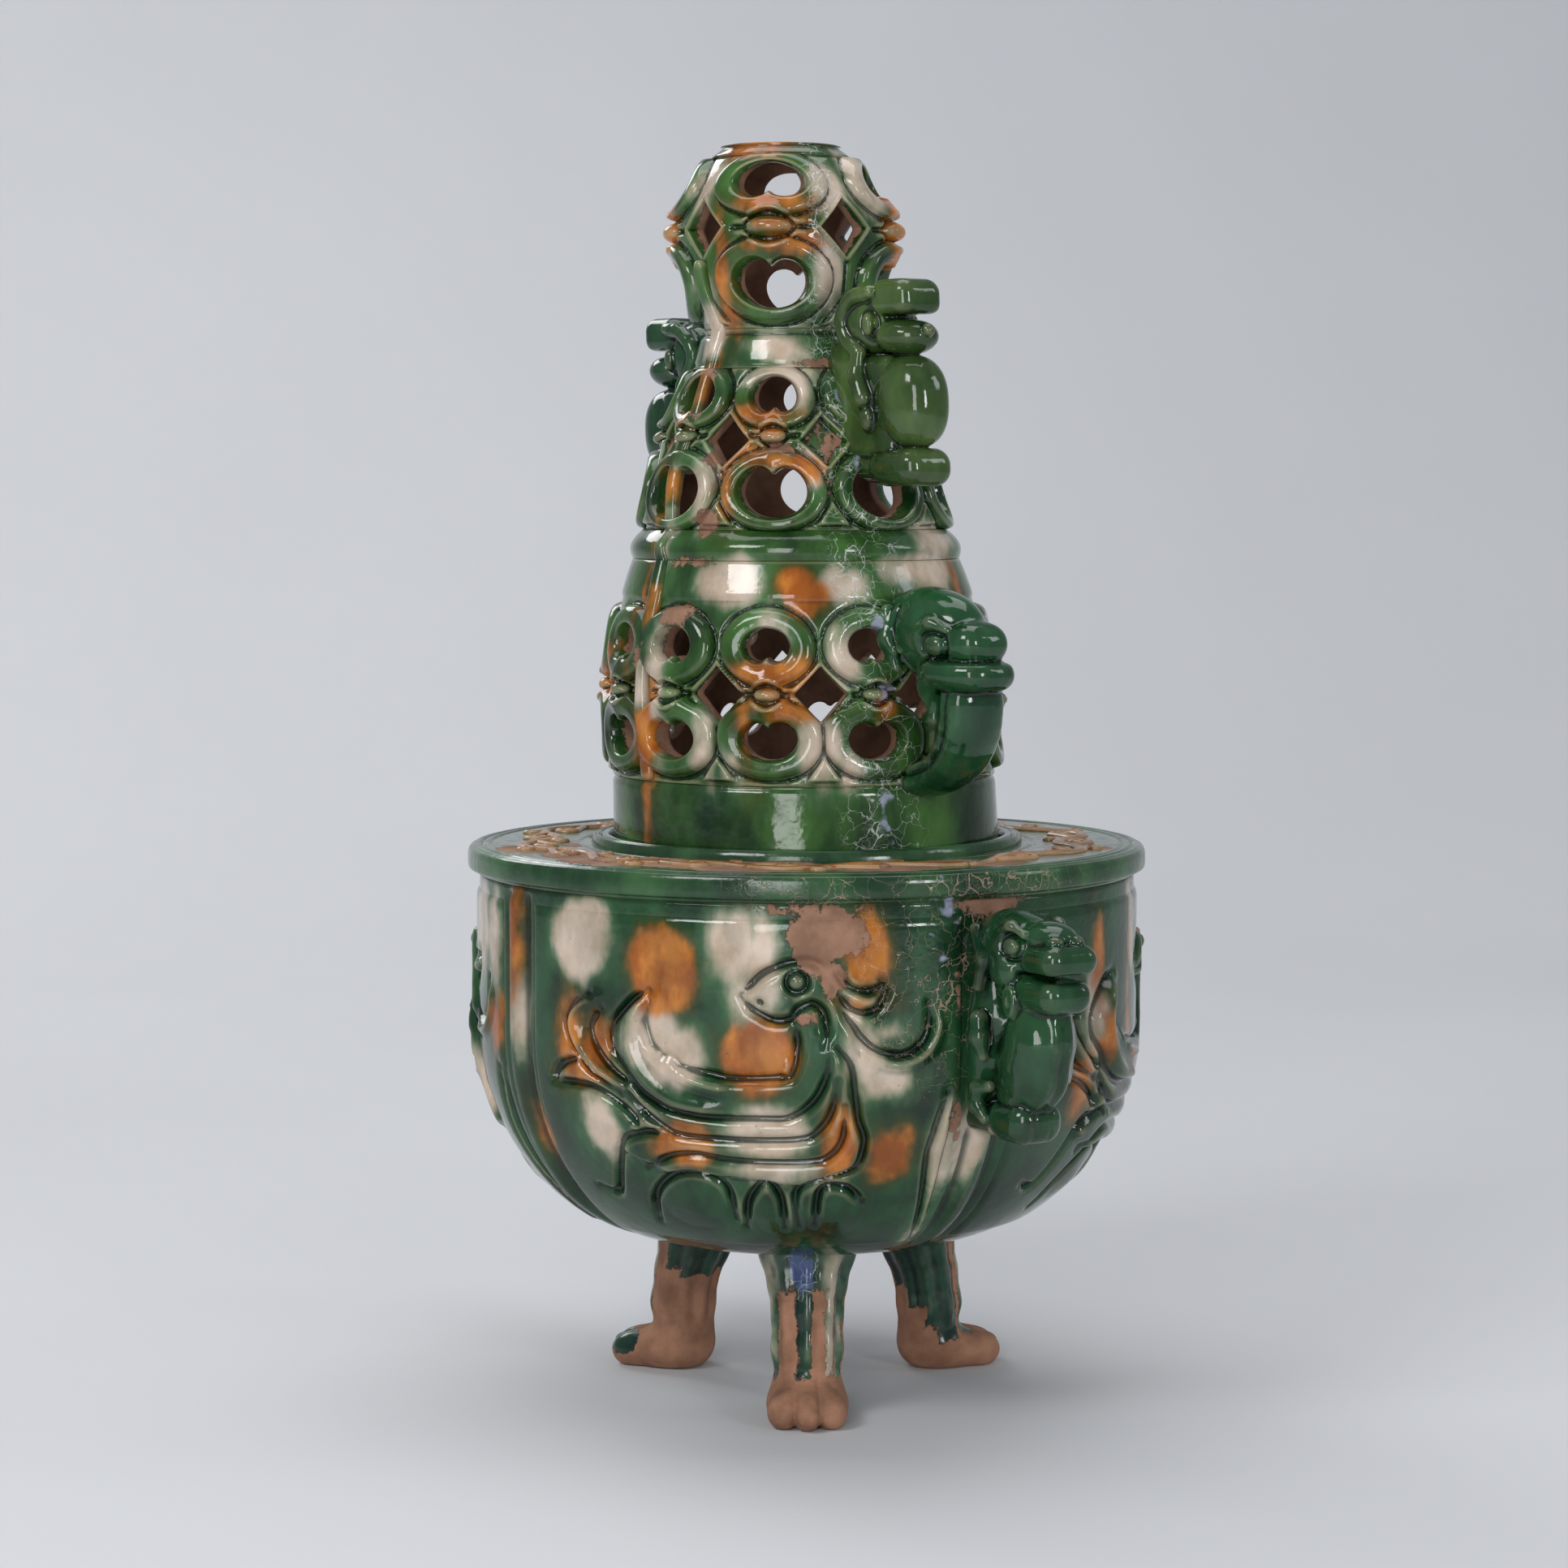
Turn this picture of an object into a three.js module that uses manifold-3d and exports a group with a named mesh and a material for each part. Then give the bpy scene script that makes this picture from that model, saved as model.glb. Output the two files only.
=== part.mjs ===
// Tripod incense burner in lead-glazed pottery: a bowl on three paw legs and a tall pierced cover.
// Millimetres, +Z up, origin on the ground under the bowl's axis. Azimuths are in degrees, from the
// front (-Y) toward +X.
import * as THREE from 'three';
import { mergeVertices } from 'three/addons/utils/BufferGeometryUtils.js';
import Module from 'manifold-3d';

const wasm = await Module();
wasm.setup();

// Gaps between pieces that were luted together, and the loose fit of the cover in its seat
const luteGap = 0.3;
const seatGap = 0.3;
const seatClearance = 1;

// Bowl
const bowlBaseHeight = 47;
const bowlBaseRadius = 39.5;
const bellyRise = 65;
const wallRadius = 96.5;
const wallRise = 42;
const bowlWall = 9;
const bowlFloor = 9;
const relief = 3;
const ribWidth = 5;
const ribCount = 4;
const beastLength = 100;
const beastHeight = 66;
const beastBaseRise = 19;

// Shoulder plate, its mouth and the seat of the cover
const plateThickness = 8.5;
const rimRadius = 100;
const rimRound = 1.6;
const mouthRadius = 46.7;
const ledgeDepth = 2;
const seatRingWidth = 5.6;
const seatRingRise = 2.6;
const seatRingBevel = 0.6;
const seatGrooveWidth = 1.2;
const seatGrooveDepth = 0.8;
const scrollMidRadius = 79.5;
const scrollSwing = 8;
const scrollWidth = 4.6;
const scrollRise = 1.8;
const scrollLobes = 4;
const scrollEndGap = 1.7;
const curlRadius = 4.6;
const curlWidth = 3.2;
const curlTipWidth = 2.3;

// Legs
const legCount = 3;
const legRadius = 42;
const shankTopWidth = 25;
const shankWidth = 18;
const ankleHeight = 12;
const pawLength = 26;
const pawWidth = 22;
const pawHeight = 17;
const toeCount = 3;
const toeRadius = 4.6;

// Cover: rise and radius of each part of the tower, from its foot up
const coverFootRadius = 57;
const footWall = 12;
const baseBandRise = 21.9;
const baseBandRadius = 56.5;
const lowerTierRise = 63.3;
const lowerTierRadius = 57;
const lowerTierTopRadius = 48;
const lowerTierStraight = 14.3;
const beltRise = 8.5;
const beltBulge = 2;
const upperTierRise = 46.5;
const upperTierRadius = 44.6;
const neckRise = 11;
const neckRadius = 28.2;
const neckTopRadius = 24.9;
const domeRise = 50;
const domeRadius = 30.5;
const domeBellyRise = 27.5;
const domeTopHalf = 30.6;
const capRise = 4;
const tierWall = 7;
const upperWall = 6.5;
const domeWall = 6;
const coverLean = 0.0375;
const coverAzimuth = 37;

// Windows of the tower: width and height of each hole, its height in its tier, and its notch
const lowerColumns = 6;
const lowerTopHole = { width: 13, height: 10.4, at: 39.3, notch: -2.2 };
const lowerHeartHole = { width: 16.2, height: 11.6, at: 13.3, notch: 2.6 };
const lowerDiamond = { size: 16, at: 25.3 };
const upperColumns = 8;
const upperTopHole = { width: 13.4, height: 11, at: 38.3, notch: -2 };
const upperHeartHole = { width: 20.6, height: 15.6, at: 11.2, notch: 3.4 };
const upperDiamond = { size: 11, at: 26 };
const domeColumns = 4;
const domeTopHole = { width: 20, height: 11, at: 42, notch: -3 };
const domeHeartHole = { width: 22, height: 15.6, at: 13.4, notch: 3.4 };
const domeDiamond = { size: 16, at: 28.5 };
const pelletWidth = 9;
const pelletHeight = 5;
const pelletProud = 2.6;
const seamWidth = 7;
const seamProud = 3;
const seamSideGap = 8.4;

// Angle between columns of the lower tier, which fit between the seam strips
const lowerPitch = (180 - 2 * THREE.MathUtils.radToDeg((seamWidth / 2 + seamSideGap) / lowerTierRadius))
  / (lowerColumns - 1);

// Handles. A proud size is how far a piece stands out from the widest radius of the wall behind it, and
// the root is how far its stock runs inside that radius before it is shaped to the wall
const handleRoot = 12;
const handleRound = 2;
const snoutTaper = 2;
const pawRollHeight = 10.6;
const pawRollLength = 21;
const pawRollWidth = 17.5;

const bowlAzimuth = 31.5;
const bowlHeadDrop = 2;
const bowlHeadProud = 42.5;
const bowlHeadWidth = 19;
const bowlHeadHeight = 25;
const bowlSkullSetback = 8;
const bowlSkullHeight = 22;
const bowlSnoutLength = 24;
const bowlSnoutHeight = 17;
const bowlSnoutDrop = 3.5;
const bowlJawSetback = 3;
const bowlJawLength = 24;
const bowlJawHeight = 10;
const bowlMouthRise = 9;
const mouthGape = 3;
const biteDepth = 18;
const biteRound = 0.2;
const bowlBodyProud = 32.5;
const bowlBodyFootProud = 25.5;
const bowlBodyBow = 5;
const bowlBodyWidth = 16;
const bowlBodyHeight = 30;
const bowlPawProud = 27.5;

const lowerLipRise = 28.6;
const lowerLipThickness = 1.5;
const lowerHeadProud = 32;
const lowerHeadWidth = 20;
const lowerSkullSetback = 5;
const lowerSkullHeight = 28.5;
const lowerSnoutLength = 22;
const lowerSnoutHeight = 17;
const trunkProud = 28;
const trunkSag = 2.5;
const trunkWidth = 16;
const trunkThickness = 7.5;
const trunkFullness = 0.65;

const upperMouthRise = 13.2;
const upperJawProud = 19;
const upperJawLength = 15;
const upperJawWidth = 16;
const upperJawHeight = 10.8;
const upperChinHeight = 10.7;
const upperFaceOverlap = 6;
const upperFaceWidth = 17;
const upperChestProud = 23.4;
const upperChestLength = 27;
const upperChestWidth = 18;
const upperBackWidth = 14;
const upperPawRise = 23;
const upperPawProud = 21.4;
const rearHandleDrop = 7.5;

const bowlSides = 36;
const coverSides = 24;
const holeSides = 7;
const bellySteps = 5;
const tierSteps = 3;
const domeSteps = 4;
const bowSteps = 4;
const trunkSteps = 5;
const cutterDepth = 40;

// Heights that follow from the sizes above
const bellyHeight = bowlBaseHeight + bellyRise;
const plateBase = bellyHeight + wallRise;
const plateTop = plateBase + plateThickness;
const ledgeHeight = plateTop - ledgeDepth;
const beastBase = bowlBaseHeight + beastBaseRise;
const bowlHeadTop = plateBase - bowlHeadDrop;
const bowlHeadBase = bowlHeadTop - bowlHeadHeight;
const bowlBodyBase = bowlHeadBase - bowlBodyHeight;
const bowlPawBase = bowlBodyBase - luteGap - pawRollHeight;
const seatInner = coverFootRadius + seatClearance;
const coverBase = ledgeHeight + seatGap;
const lowerTierBase = coverBase + baseBandRise;
const beltBase = lowerTierBase + lowerTierRise;
const upperTierBase = beltBase + beltRise;
const neckBase = upperTierBase + upperTierRise;
const domeBase = neckBase + neckRise;
const domeTop = domeBase + domeRise;
const coverTop = domeTop + capRise;
const domeBelly = domeBase + domeBellyRise;

const glaze = (color, roughness = 0.18) => new THREE.MeshStandardMaterial({ color, roughness, metalness: 0 });
const green = () => glaze(0x2f7d4a);
const darkGreen = () => glaze(0x1f6138);
const amber = () => glaze(0xd08a35);
const cream = () => glaze(0xe6dcc8);
const clay = () => glaze(0xb5896c, 0.85);

const turn = (azimuth) => THREE.MathUtils.degToRad(azimuth - 90);
const range = (count) => Array.from({ length: count }, (_, i) => i);

// A closed solid from any closed geometry
function solid(geometry) {
  const plain = geometry.clone();
  for (const name of Object.keys(plain.attributes)) {
    if (name !== 'position') plain.deleteAttribute(name);
  }
  const merged = mergeVertices(plain, 1e-4);
  const corners = [];
  for (let i = 0; i < merged.index.count; i += 3) {
    const [a, b, c] = [0, 1, 2].map((k) => merged.index.getX(i + k));
    if (a !== b && b !== c && c !== a) corners.push(a, b, c);
  }
  return new wasm.Manifold(new wasm.Mesh({
    numProp: 3,
    vertProperties: new Float32Array(merged.attributes.position.array),
    triVerts: new Uint32Array(corners),
  }));
}

const join = (parts) => parts.reduce((whole, part) => whole.add(part));
const cut = (whole, parts) => parts.reduce((rest, part) => rest.subtract(part), whole);

function geometryOf(manifold) {
  const { vertProperties, triVerts } = manifold.getMesh();
  const geometry = new THREE.BufferGeometry();
  geometry.setAttribute('position', new THREE.BufferAttribute(new Float32Array(vertProperties), 3));
  geometry.setIndex(Array.from(triVerts));
  return geometry;
}

function named(name, shape, material) {
  const geometry = shape.isBufferGeometry ? shape : geometryOf(shape);
  geometry.computeVertexNormals();
  const mesh = new THREE.Mesh(geometry, material);
  mesh.name = name;
  return mesh;
}

// Solid of revolution about Z; outline is [radius, height] pairs that run up the outside
function revolve(outline, sides = bowlSides) {
  const points = outline.map(([r, z]) => new THREE.Vector2(r, z));
  points.push(points[0].clone());
  return solid(new THREE.LatheGeometry(points, sides).rotateX(Math.PI / 2));
}

// [radius, height] pairs along radiusAt between two heights
const rise = (radiusAt, low, high, steps) => range(steps + 1).map((i) => {
  const z = low + (high - low) * i / steps;
  return [Math.max(radiusAt(z), 0), z];
});

// A ring whose outer face follows radiusAt and whose inner face lies a wall inside it
function ring(radiusAt, low, high, steps, wallAt) {
  const outer = rise(radiusAt, low, high, steps);
  const inner = rise((z) => radiusAt(z) - wallAt(z), low, high, Math.ceil(steps / 2)).reverse();
  return revolve([...outer, ...inner], coverSides);
}

const filled = (outline, sides) => revolve([[0, outline[0][1]], ...outline, [0, outline.at(-1)[1]]], sides);
const swollen = (outline, by) => outline.map(([r, z]) => [r + by, z]);

// A flat shape pushed outward: x runs along the wall and y up, on the azimuth that it is turned to
function radialPrism(shape, azimuth, depth, curveSegments = 6) {
  const frame = new THREE.Matrix4().makeBasis(
    new THREE.Vector3(0, 1, 0), new THREE.Vector3(0, 0, 1), new THREE.Vector3(1, 0, 0));
  const prism = new THREE.ExtrudeGeometry(shape, { depth, bevelEnabled: false, curveSegments });
  return solid(prism.applyMatrix4(frame).rotateZ(turn(azimuth)));
}

// A side outline, [radius, height] pairs, given a width across and rounded edges, along +X
function sideBody(outline, width, round) {
  const shape = new THREE.Shape(outline.map(([r, z]) => new THREE.Vector2(r, z)));
  const body = new THREE.ExtrudeGeometry(shape, {
    depth: width - 2 * round,
    bevelThickness: round,
    bevelSize: round,
    bevelOffset: -round,
    bevelSegments: 2,
  });
  const frame = new THREE.Matrix4().makeBasis(
    new THREE.Vector3(1, 0, 0), new THREE.Vector3(0, 0, 1), new THREE.Vector3(0, -1, 0));
  return solid(body.translate(0, 0, round - width / 2).applyMatrix4(frame));
}

function egg(r, across, z, halfLength, halfWidth, halfHeight, facets = 12) {
  const ball = new THREE.SphereGeometry(1, facets, facets / 2 + 2).scale(halfLength, halfWidth, halfHeight);
  return solid(ball.translate(r, across, z));
}

// An egg along +X between two reaches, standing on its base height
const span = (from, to, base, width, height) => (
  egg((from + to) / 2, 0, base + height / 2, (to - from) / 2, width / 2, height / 2));

// All that lies under a height, near a piece made along +X
function under(height, reach) {
  const block = new THREE.BoxGeometry(4 * reach, 2 * reach, height);
  return solid(block.translate(0, 0, height / 2));
}

// A brush stroke of clay: a flat band along a curve through points, tapering to its end
function stroke(points, startWidth, endWidth, steps) {
  const curve = new THREE.SplineCurve(points.map(([x, y]) => new THREE.Vector2(x, y)));
  const edges = range(steps + 1).map((i) => {
    const t = i / steps;
    const at = curve.getPoint(t);
    const along = curve.getTangent(t);
    const side = new THREE.Vector2(-along.y, along.x)
      .multiplyScalar(THREE.MathUtils.lerp(startWidth, endWidth, t) / 2);
    return [at.clone().add(side), at.clone().sub(side)];
  });
  const left = edges.map((pair) => pair[0]);
  const right = edges.map((pair) => pair[1]).reverse();
  return new THREE.Shape([...left, ...right].reverse());
}

// Bowl profile: a quarter ellipse from the base up to the straight wall
function bowlOutline(inset, floor) {
  const reach = wallRadius - bowlBaseRadius - inset;
  const drop = bellyRise - floor;
  const belly = range(bellySteps + 1).map((i) => {
    const angle = Math.PI / 2 * i / bellySteps;
    return [bowlBaseRadius + reach * Math.sin(angle), bellyHeight - drop * Math.cos(angle)];
  });
  return [...belly, [wallRadius - inset, plateBase]];
}

const bowlOuter = bowlOutline(0, 0);
const bowlEnvelope = filled([...swollen(bowlOuter, luteGap).map(([r, z]) => [r, z - luteGap]),
  [wallRadius + luteGap, coverTop]]);

function bowlShell() {
  const inner = bowlOutline(bowlWall, bowlFloor).reverse();
  const open = [[0, bowlBaseHeight], ...bowlOuter, ...inner, [0, bowlBaseHeight + bowlFloor]];
  const skin = filled([...swollen(bowlOuter, relief / 2)]).subtract(filled(swollen(bowlOuter, -relief)));
  const ribs = range(ribCount).map((i) => {
    const underHandle = i % 2 === 0;
    const height = (underHandle ? bowlPawBase - luteGap : plateBase) - bowlBaseHeight;
    const bar = new THREE.BoxGeometry(2 * wallRadius, ribWidth, height)
      .translate(wallRadius, 0, bowlBaseHeight + height / 2)
      .rotateZ(turn(bowlAzimuth + 360 * i / ribCount));
    return solid(bar).intersect(skin);
  });
  return join([revolve(open), ...ribs]);
}

// Strokes of the beast in each wall panel: points and widths in percent of its length and height, from
// the foot of its middle
const beastStrokes = [
  { line: [[6, 94], [15, 101], [26, 98]], from: 6, to: 12 },
  { line: [[25, 98], [29, 79], [24, 57]], from: 11, to: 15 },
  { line: [[27, 54], [2, 39], [-26, 37]], from: 30, to: 18 },
  { line: [[-22, 42], [-40, 51], [-54, 53]], from: 12, to: 4 },
  { line: [[-28, 48], [-42, 61], [-46, 76], [-38, 91]], from: 7, to: 4 },
  { line: [[-8, 50], [-22, 58], [-27, 73], [-20, 92]], from: 7, to: 4 },
  { line: [[32, 70], [46, 65], [55, 77], [54, 92]], from: 7, to: 4 },
  { line: [[-16, 34], [-17, 0]], from: 20, to: 12 },
  { line: [[8, 36], [8, 0]], from: 11, to: 8 },
  { line: [[30, 45], [33, 3]], from: 13, to: 8 },
];

function beast(panel) {
  const azimuth = bowlAzimuth + 360 * (panel + 0.5) / ribCount;
  const skin = filled(swollen(bowlOuter, luteGap + relief)).subtract(bowlEnvelope);
  const place = ([x, y]) => [x / 100 * beastLength, beastBase + y / 100 * beastHeight];
  const body = join(beastStrokes.map(({ line, from, to }) => {
    const shape = stroke(line.map(place), from / 100 * beastLength, to / 100 * beastLength, 3);
    return radialPrism(shape, azimuth, 2 * wallRadius);
  }));
  return body.intersect(skin);
}

const shoulderPlate = () => revolve([
  [mouthRadius, plateBase],
  [rimRadius, plateBase], [rimRadius, plateTop - rimRound], [rimRadius - rimRound, plateTop],
  [seatInner, plateTop], [seatInner, ledgeHeight], [mouthRadius, ledgeHeight],
]);

function seatRing() {
  const outer = seatInner + seatRingWidth;
  const groove = seatInner + seatRingWidth / 2;
  const lip = seatGrooveWidth / 2;
  const top = plateTop + seatRingRise;
  return revolve([[seatInner, plateTop], [outer, plateTop], [outer - seatRingBevel, top],
    [groove + lip, top], [groove, top - seatGrooveDepth], [groove - lip, top], [seatInner, top]]);
}

// Half of the scroll border: a wave that peaks at both handles, with curls that branch off it
function scroll(half) {
  const start = bowlAzimuth + 180 * half;
  const step = 180 / scrollLobes;
  const at = (azimuth, radius) => [
    radius * Math.cos(turn(azimuth)), radius * Math.sin(turn(azimuth))];
  const wave = (azimuth) => scrollMidRadius + scrollSwing * Math.cos((azimuth - start) / step * 2 * Math.PI);
  const margin = THREE.MathUtils.radToDeg(scrollEndGap / (scrollMidRadius + scrollSwing));
  const vine = range(scrollLobes * 6 + 1).map((i) => {
    const azimuth = start + margin + (180 - 2 * margin) * i / (scrollLobes * 6);
    return at(azimuth, wave(azimuth));
  });
  const lift = (shape) => {
    const slab = new THREE.ExtrudeGeometry(shape, { depth: scrollRise, bevelEnabled: false });
    return solid(slab.translate(0, 0, plateTop));
  };
  const curls = range(2 * scrollLobes).map((i) => {
    const out = i % 2 === 0 ? 1 : -1;
    const azimuth = start + step * (i + 0.5) / 2;
    const centre = wave(azimuth) + out * (curlRadius + scrollWidth / 4);
    const turns = range(9).map((k) => {
      const angle = Math.PI * (0.5 + 1.5 * k / 8);
      const radius = curlRadius * (1 - 0.5 * k / 8);
      const along = THREE.MathUtils.radToDeg(radius * Math.cos(angle) / centre);
      return at(azimuth + along, centre - out * radius * Math.sin(angle));
    });
    return lift(stroke(turns, curlWidth, curlTipWidth, 6));
  });
  return join([lift(stroke(vine, scrollWidth, scrollWidth, scrollLobes * 7)), ...curls]);
}

function leg() {
  const height = bowlBaseHeight + bellyRise / 4 - ankleHeight;
  const shank = new THREE.CylinderGeometry(shankTopWidth / 2, shankWidth / 2, height, 14)
    .rotateX(Math.PI / 2).translate(legRadius, 0, ankleHeight + height / 2);
  const pawCentre = legRadius + pawLength / 4;
  const paw = egg(pawCentre, 0, pawHeight * 0.4, pawLength / 2, pawWidth / 2, pawHeight * 0.6);
  const toes = range(toeCount).map((i) => {
    const across = (i - (toeCount - 1) / 2) * (pawWidth / toeCount);
    const reach = pawLength / 2 - toeRadius * (0.8 + Math.abs(across) / pawWidth);
    return egg(pawCentre + reach, across, toeRadius * 0.9, toeRadius * 1.3, toeRadius, toeRadius * 1.1, 8);
  });
  const ground = solid(new THREE.BoxGeometry(4 * pawLength, 2 * pawWidth, pawHeight)
    .translate(legRadius, 0, -pawHeight / 2));
  return cut(join([solid(shank), paw, ...toes]), [ground, bowlEnvelope]);
}

// Cover profile, foot to top
function lowerTierAt(z) {
  const straight = lowerTierBase + lowerTierStraight;
  const t = Math.max(0, (z - straight) / (beltBase - straight));
  return lowerTierRadius - (lowerTierRadius - lowerTierTopRadius) * t ** 2.2;
}
const baseBandAt = (z) => THREE.MathUtils.lerp(
  coverFootRadius, baseBandRadius, Math.min(1, (z - coverBase) / baseBandRise));
const beltAt = (z) => THREE.MathUtils.lerp(lowerTierTopRadius, upperTierRadius, (z - beltBase) / beltRise)
  + beltBulge * Math.sin(Math.PI * (z - beltBase) / beltRise);
const upperTierAt = (z) => upperTierRadius
  - (upperTierRadius - neckRadius) * ((z - upperTierBase) / upperTierRise) ** 1.5;
const neckAt = (z) => THREE.MathUtils.lerp(neckRadius, neckTopRadius, (z - neckBase) / neckRise);
function domeAt(z) {
  const underHalf = domeBellyRise / Math.sqrt(1 - (neckTopRadius / domeRadius) ** 2);
  const half = z < domeBelly ? underHalf : domeTopHalf;
  return domeRadius * Math.sqrt(Math.max(0, 1 - ((z - domeBelly) / half) ** 2));
}

const coverOutline = [
  ...rise(baseBandAt, coverBase, lowerTierBase, 1), ...rise(lowerTierAt, lowerTierBase, beltBase, tierSteps),
  ...rise(beltAt, beltBase, upperTierBase, 4), ...rise(upperTierAt, upperTierBase, neckBase, tierSteps),
  ...rise(neckAt, neckBase, domeBase, 1), ...rise(domeAt, domeBase, domeTop, domeSteps),
  ...rise(domeAt, domeTop, coverTop, 2),
];
const coverEnvelope = filled(swollen(coverOutline, luteGap), coverSides);

// The tower leans a little: each level shifts sideways in proportion to its height
function leaned(manifold) {
  const shear = new THREE.Matrix4().makeShear(0, 0, 0, 0, -coverLean, 0);
  shear.setPosition(coverLean * coverBase, 0, 0);
  return geometryOf(manifold).applyMatrix4(shear);
}

// A window whose notched side points into the hole, as in a heart; a notch below zero is at its foot
function notchedHole({ width, height, notch }) {
  const up = Math.sign(notch);
  const round = range(holeSides).map((i) => {
    const angle = Math.PI * (0.5 + up * (0.15 + 1.7 * i / (holeSides - 1)));
    return new THREE.Vector2(width / 2 * Math.cos(angle), up * height / 2 * Math.sin(angle));
  });
  return new THREE.Shape([...round, new THREE.Vector2(0, up * (height / 2 - Math.abs(notch)))]);
}
const diamondHole = ({ size }) => new THREE.Shape(
  [[size, 0], [0, size], [-size, 0], [0, -size]].map(([x, y]) => new THREE.Vector2(x / 2, y / 2)));

function window(shape, azimuth, height, radius) {
  return radialPrism(shape, azimuth, cutterDepth)
    .translate([(radius - cutterDepth / 2) * Math.cos(turn(azimuth)),
      (radius - cutterDepth / 2) * Math.sin(turn(azimuth)), height]);
}

function pellet(azimuth, height, radius) {
  return egg(radius, 0, height, pelletProud, pelletWidth / 2, pelletHeight / 2, 8)
    .rotate([0, 0, azimuth - 90]);
}

// A pierced wall: notched holes in columns, a clay pellet between each pair, diamonds between columns
function pierced(wall, radiusAt, base, columns, gaps, top, heart, diamond) {
  const holes = columns.flatMap((azimuth) => [top, heart].map((hole) => (
    window(notchedHole(hole), azimuth, base + hole.at, radiusAt(base + hole.at)))));
  const diamonds = gaps.map((azimuth) => (
    window(diamondHole(diamond), azimuth, base + diamond.at, radiusAt(base + diamond.at))));
  const pellets = columns.map((azimuth) => pellet(azimuth, base + diamond.at, radiusAt(base + diamond.at)));
  return cut(join([wall, ...pellets]), [...holes, ...diamonds]);
}

const halves = [coverAzimuth, coverAzimuth + 180];
const spread = (count, pitch) => range(count).map((i) => (i - (count - 1) / 2) * pitch);
const lowerAzimuths = halves.flatMap((middle) => spread(lowerColumns, lowerPitch).map((a) => middle + a));
const lowerGaps = halves.flatMap((middle) => spread(lowerColumns - 1, lowerPitch).map((a) => middle + a));
const around = (count, offset) => range(count).map((i) => coverAzimuth + 360 * (i + offset) / count);
const without = (azimuths, left) => azimuths.filter((a) => !left.some((b) => (a - b) % 360 === 0));

function lowerTier() {
  const wall = ring(lowerTierAt, lowerTierBase, beltBase, tierSteps, () => tierWall);
  return pierced(wall, lowerTierAt, lowerTierBase, lowerAzimuths, lowerGaps,
    lowerTopHole, lowerHeartHole, lowerDiamond);
}

// There are no windows behind the handles and the seam strips. Each half's mould has one blind diamond
function upperTier() {
  const wall = ring(upperTierAt, upperTierBase, neckBase, tierSteps, () => upperWall);
  const columns = without(around(upperColumns, 0), around(4, 0));
  const gaps = without(around(upperColumns, 0.5), halves.map((middle) => middle - 180 / upperColumns));
  return pierced(wall, upperTierAt, upperTierBase, columns, gaps, upperTopHole, upperHeartHole, upperDiamond);
}

function dome() {
  const wall = ring(domeAt, domeBase, domeTop, domeSteps, () => domeWall);
  return pierced(wall, domeAt, domeBase, around(domeColumns, 0.5), around(domeColumns, 0),
    domeTopHole, domeHeartHole, domeDiamond);
}

const baseBand = () => ring(baseBandAt, coverBase, lowerTierBase, 1, () => footWall);
const belt = () => ring(beltAt, beltBase, upperTierBase, 4, () => tierWall);
const neck = () => ring(neckAt, neckBase, domeBase, 1, () => domeWall);
const cap = () => filled(rise(domeAt, domeTop, coverTop, 2), coverSides);

// A strip of clay over the joint of the two moulded halves, from the dome's diamond to the foot
function seamStrip(azimuth) {
  const top = domeBase + domeDiamond.at - domeDiamond.size / 2 - luteGap;
  const height = top - lowerTierBase;
  const bar = new THREE.BoxGeometry(2 * lowerTierRadius, seamWidth, height)
    .translate(lowerTierRadius, 0, lowerTierBase + height / 2).rotateZ(turn(azimuth));
  const skin = filled(swollen(coverOutline, luteGap + seamProud), coverSides).subtract(coverEnvelope);
  return solid(bar).intersect(skin);
}

// A piece made along +X, turned to its azimuth and shaped to the wall that it is luted to
const onWall = (envelope) => (manifold, azimuth) => manifold.rotate([0, 0, azimuth - 90]).subtract(envelope);
const onBowl = onWall(bowlEnvelope);
const onCover = onWall(coverEnvelope);

const pawRoll = (reach, top) => egg(reach - pawRollLength / 2, 0, top - pawRollHeight / 2,
  pawRollLength / 2, pawRollWidth / 2, pawRollHeight / 2);

// Handle on the bowl: a beast's head over a bowed body that ends in a paw
function bowlHandle(azimuth) {
  const root = wallRadius - handleRoot;
  const tip = wallRadius + bowlHeadProud;
  const chinTip = tip - bowlJawSetback;
  const skull = span(root, tip - bowlSkullSetback, bowlHeadTop - bowlSkullHeight,
    bowlHeadWidth, bowlSkullHeight);
  const snout = span(tip - bowlSnoutLength, tip, bowlHeadTop - bowlSnoutDrop - bowlSnoutHeight,
    bowlHeadWidth - snoutTaper, bowlSnoutHeight);
  const jaw = span(chinTip - bowlJawLength, chinTip, bowlHeadBase, bowlHeadWidth - snoutTaper, bowlJawHeight);
  const mouth = bowlHeadBase + bowlMouthRise;
  const bite = sideBody([
    [tip + mouthGape, mouth + mouthGape / 2], [tip - biteDepth, mouth],
    [tip + mouthGape, mouth - mouthGape / 2],
  ], 2 * bowlHeadWidth, biteRound);
  const bodyTop = bowlHeadBase - luteGap;
  const front = range(bowSteps + 1).map((i) => {
    const t = i / bowSteps;
    const chord = THREE.MathUtils.lerp(bowlBodyProud, bowlBodyFootProud, t);
    return [wallRadius + chord + bowlBodyBow * Math.sin(Math.PI * t),
      THREE.MathUtils.lerp(bodyTop, bowlBodyBase, t)];
  });
  const body = sideBody([[root, bodyTop], ...front, [root, bowlBodyBase]], bowlBodyWidth, handleRound);
  const paw = pawRoll(wallRadius + bowlPawProud, bowlBodyBase - luteGap);
  return {
    head: onBowl(join([skull, snout, jaw]).subtract(bite), azimuth),
    body: onBowl(body, azimuth),
    paw: onBowl(paw, azimuth),
  };
}

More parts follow.
